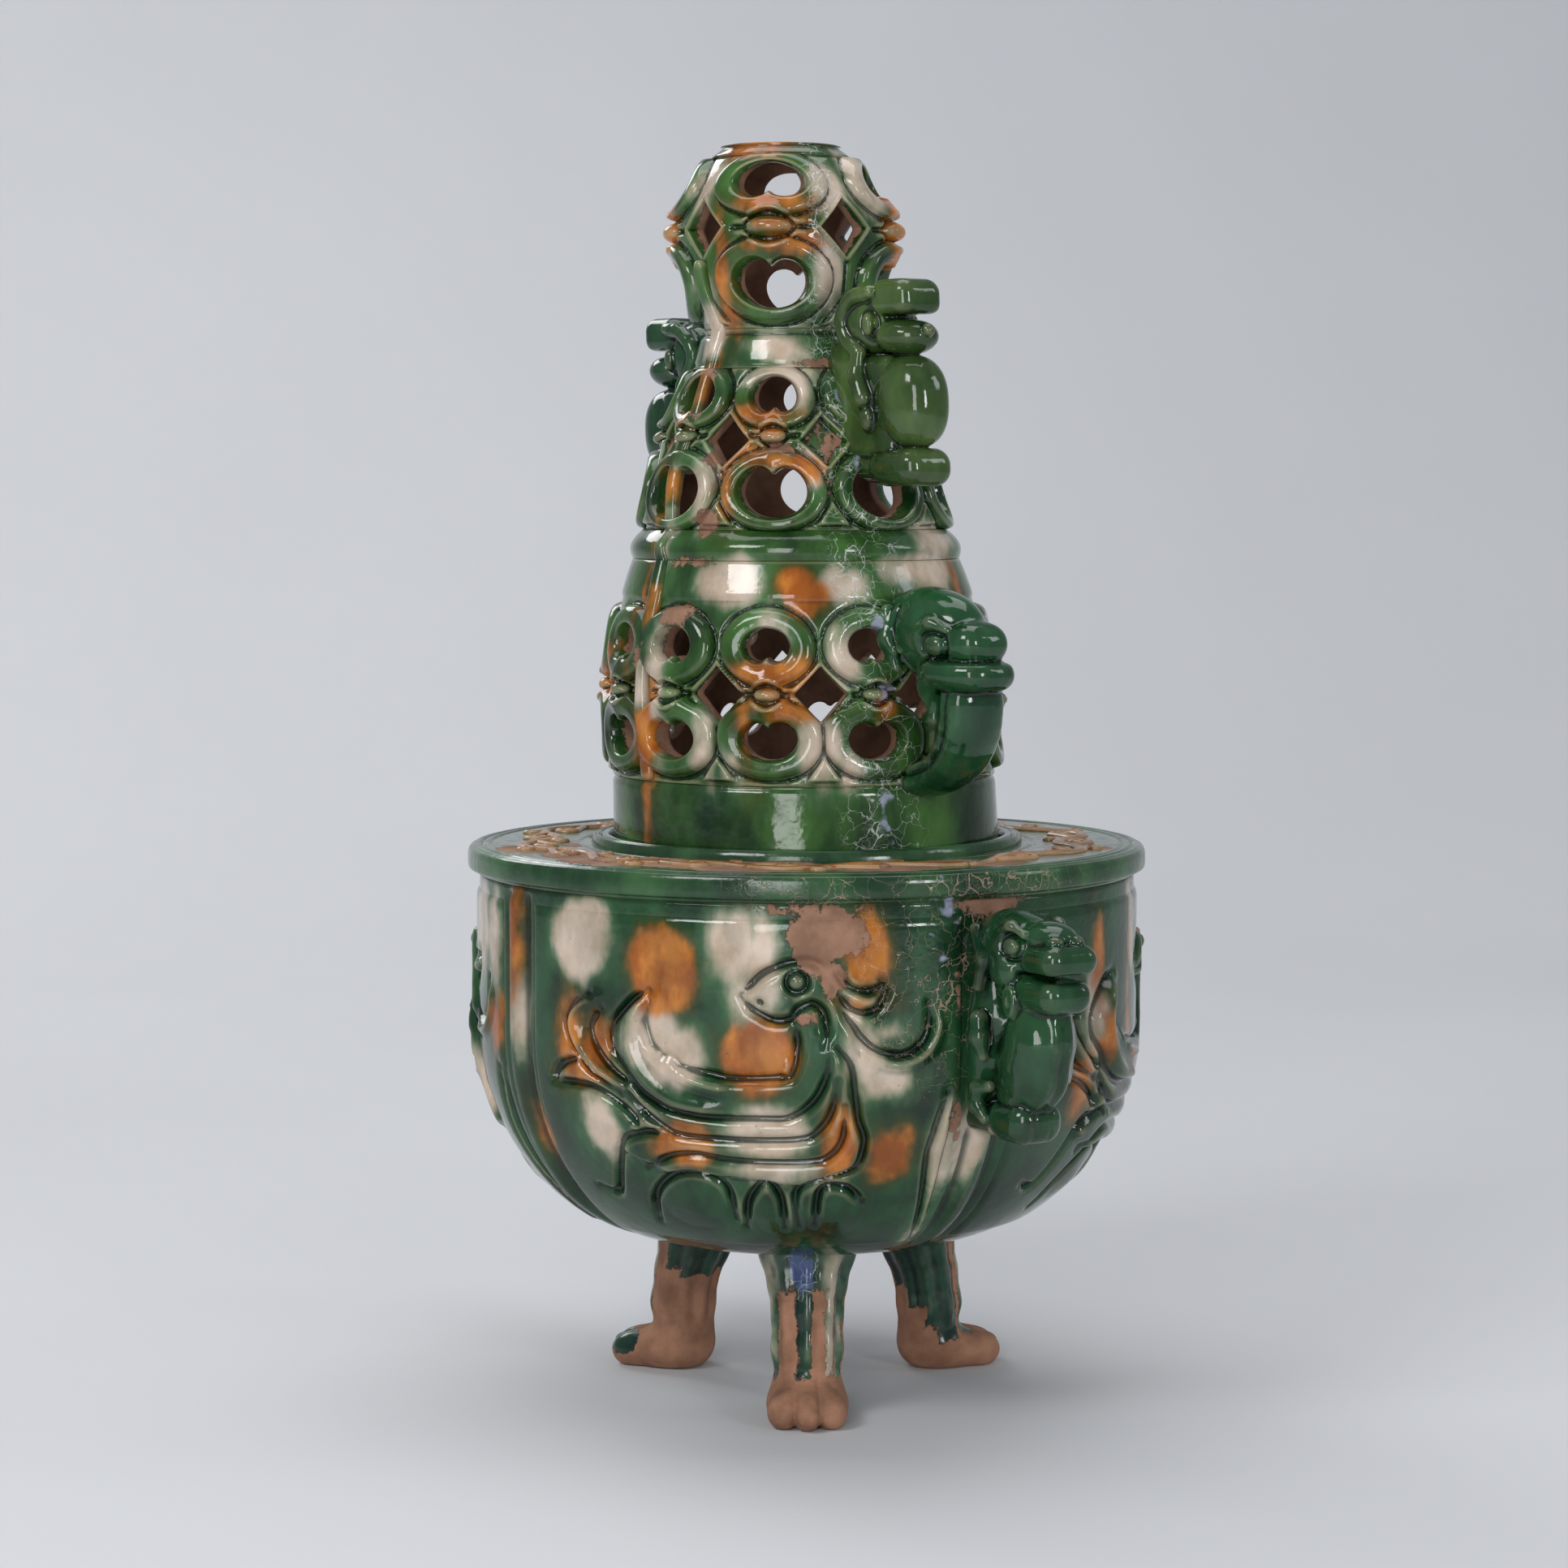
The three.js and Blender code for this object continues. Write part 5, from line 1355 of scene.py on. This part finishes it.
# Heights between which a seam strip is amber or cream
SEAM_AMBER = [(161, 200), (224, 238), (262, 300)]
SEAM_CREAM = [(205, 222), (252, 260), (305, 318)]


def paint_seam(points):
    z = points[:, 2] + 1.5 * points[:, 1] / lower_at(TIER_LOW)

    def within(spans):
        return np.maximum.reduce([np.minimum(np.minimum(z - low, high - z), 0.2) for low, high in spans])
    return {**paint_cover(points), "amber": within(SEAM_AMBER), "cream": within(SEAM_CREAM),
            "bare": np.minimum(paint_cover(points)["bare"], -2.0)}


def seam_strip(place, azimuth):
    """Strip of clay over the joint of the two moulded halves, thicker in places."""
    top = DOME_LOW + 20

    def field(p):
        x, z, w = p.T
        sway = 0.8 * np.sin(z / 9.0) + 0.4 * np.sin(z / 4.1 + 1)
        half = 2.4 + 0.3 * np.sin(z / 6.3 + 2)
        bar = np.hypot((x - sway) / half, np.maximum(w, -1) / (2 + 0.3 * np.sin(z / 5.2))) - 1
        return trim(trim(bar * 2.4, -1.6 - w, 0.4), np.maximum(TIER_LOW + 0.2 - z, z - top), 2.5)

    corners, faces = netted(field, (-5.5, TIER_LOW - 1.4, -2.6), (5.5, top + 1.4, 3.8), 0.6)
    x, z, w = corners.T
    points = about(cover_at(z) + w, math.radians(azimuth) + x / np.maximum(cover_at(z), 20), z)
    piece(f"{place}_seam", (points, faces), "cover", [f"seam_strip_{place}"], THREE_COLOUR,
          paint_seam)


HANDLE_CELL, LEG_CELL = 0.58, 0.6
BOWL_HANDLE_CHIPS = [(72, -82, 151, 4), (67, -100, 152, 2)]


def handles():
    twins = ("right", 0, OLIVE_HANDLE, 0.0), ("left", 180, DARK_HANDLE, REAR_HANDLE_DROP)
    for side, turn, tone, drop in twins:
        sculpted(f"bowl_handle_{side}", bowl_handle_field, (88, -13, 82), (139, 13, 156),
                 BOWL_AXIS + turn, "bowl",
                 [f"bowl_handle_{part}_{side}" for part in ("head", "body", "paw")], GREEN_HANDLE,
                 paint_plain(-5, BOWL_HANDLE_CHIPS), cell=HANDLE_CELL)
        azimuth = COVER_AXIS + turn
        sculpted(f"snout_handle_{side}", snout_handle_field, (44, -15, 176), (92, 15, 243), azimuth,
                 "cover", [f"lower_handle_{part}_{side}" for part in ("head", "trunk")], DARK_HANDLE,
                 paint_plain(-7), cell=HANDLE_CELL)
        sculpted(f"crouching_handle_{side}", lambda p: crouching_handle_field(p, drop),
                 (22, -14, 264 - drop), (70, 14, 329), azimuth, "cover",
                 [f"upper_handle_{part}_{side}" for part in ("beast", "paw")], tone,
                 paint_plain(-6.5), cell=HANDLE_CELL)


def legs():
    for place, azimuth in (("front", 0), ("right", 120), ("left", 240)):
        sculpted(f"{place}_leg", leg_field, (18, -18, -1.2), (69, 18, 52.5), azimuth, "bowl",
                 [f"leg_{place}"], LEG_CLAY, paint_leg(place, azimuth), cell=LEG_CELL)


# Pieces
bowl_body()
for number in range(1, 5):
    wall_panel(number, PANEL_AXIS + 90 * number)
plate()
scroll("front", BOWL_AXIS)
scroll("rear", BOWL_AXIS + 180)
legs()
banded("base_band", band_at, COVER_BASE, TIER_LOW, 12, 41, 240, [(TIER_LOW - 0.4, 0.8, 0.9)], 0.2)
cover_walls()
banded("belt", belt_at, BELT_LOW, TIER_HIGH, 7, 33, 240)
banded("neck", neck_at, NECK_LOW, DOME_LOW, 6, 29, 200, [(310.6, 0.9, 0.9), (302, 0.4, 0.6)])
cap()
seam_strip("front", COVER_AXIS - 90)
seam_strip("rear", COVER_AXIS + 90)
handles()


# Studio, in metres
CAMERA_PLACE, CAMERA_PITCH, CAMERA_LENS = (-0.0067, -1.150, 0.2697), 4.5, 89.6
FLOOR_FRONT, BEND_START, BEND_RADIUS, BACKDROP_TOP, BACKDROP_HALF = -3.0, 0.9, 0.7, 3.2, 3.5
SKY_COLOUR, SKY_STRENGTH = (0.80, 0.84, 0.92, 1), 0.3
MIDDLE, LOW_MIDDLE = (0, 0, 0.2), (0, 0, 0.18)
# Name, place, target, size, power and colour of each
SOFTBOXES = [
    ("key_softbox", (-0.9, -1.1, 1.25), LOW_MIDDLE, (0.6, 0.5), 10, (1, 1, 1)),
    ("left_softbox", (-0.23, -1.32, 0.42), MIDDLE, (0.34, 0.75), 5, (1, 1, 1)),
    ("right_softbox", (0.84, -1.1, 0.42), MIDDLE, (0.16, 0.36), 3, (1, 1, 1)),
    ("side_softbox", (1.5, -0.2, 0.9), LOW_MIDDLE, (0.3, 0.5), 2, (0.94, 0.97, 1)),
    ("top_softbox", (0, 0.3, 1.9), MIDDLE, (1.6, 1.2), 14, (1, 1, 1)),
    ("rear_softbox", (-0.9, 1.3, 1.2), MIDDLE, (0.8, 0.6), 7, (1, 1, 1))]


def camera():
    scene = bpy.context.scene
    lens = bpy.data.cameras.new("camera")
    lens.sensor_width, lens.lens = 36, CAMERA_LENS
    lens.clip_start, lens.clip_end = 0.05, 50
    thing = bpy.data.objects.new("camera", lens)
    thing.location = CAMERA_PLACE
    thing.rotation_euler = (math.radians(90 - CAMERA_PITCH), 0, 0)
    scene.collection.objects.link(thing)
    scene.camera = thing


def backdrop_paper():
    material = bpy.data.materials.new("backdrop_paper")
    material.use_nodes = True
    n = Nodes(material.node_tree)
    shader = material.node_tree.nodes["Principled BSDF"]
    tone = n.mix(n.noise(3, 3), (0.60, 0.61, 0.63, 1), (0.66, 0.67, 0.69, 1))
    material.node_tree.links.new(tone, shader.inputs["Base Color"])
    shader.inputs["Roughness"].default_value = 0.75
    return material


def backdrop():
    """Floor that curves up at the rear."""
    bend = [(BEND_START + BEND_RADIUS * math.sin(a), BEND_RADIUS - BEND_RADIUS * math.cos(a))
            for a in np.linspace(0.1, np.pi / 2, 16)]
    path = [(FLOOR_FRONT, 0.0), (BEND_START, 0.0), *bend, (BEND_START + BEND_RADIUS, BACKDROP_TOP)]
    points = [(x, y, z) for y, z in path for x in (-BACKDROP_HALF, BACKDROP_HALF)]
    faces = [(2 * i, 2 * i + 1, 2 * i + 3, 2 * i + 2) for i in range(len(path) - 1)]
    mesh = bpy.data.meshes.new("backdrop")
    mesh.from_pydata(points, [], faces)
    for face in mesh.polygons:
        face.use_smooth = True
    mesh.materials.append(backdrop_paper())
    thing = bpy.data.objects.new("backdrop", mesh)
    bpy.context.scene.collection.objects.link(thing)
    return thing


def softbox(name, place, target, size, power, colour):
    light = bpy.data.lights.new(name, "AREA")
    light.shape, light.size, light.size_y = "RECTANGLE", size[0], size[1]
    light.energy, light.color = power, colour
    thing = bpy.data.objects.new(name, light)
    thing.location = place
    direction = np.array(target) - np.array(place)
    thing.rotation_euler = Vector(direction).to_track_quat("-Z", "Y").to_euler()
    bpy.context.scene.collection.objects.link(thing)
    return thing


def daylight():
    world = bpy.data.worlds.new("studio")
    world.use_nodes = True
    sky = world.node_tree.nodes["Background"].inputs
    sky["Color"].default_value, sky["Strength"].default_value = SKY_COLOUR, SKY_STRENGTH
    bpy.context.scene.world = world


def studio():
    bpy.context.scene.view_settings.view_transform = "Standard"
    camera()
    stage = [backdrop(), *[softbox(*row) for row in SOFTBOXES]]
    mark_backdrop(*stage)
    daylight()


studio()
{"cad": cad_box, "visual": [list(corner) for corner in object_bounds()]}
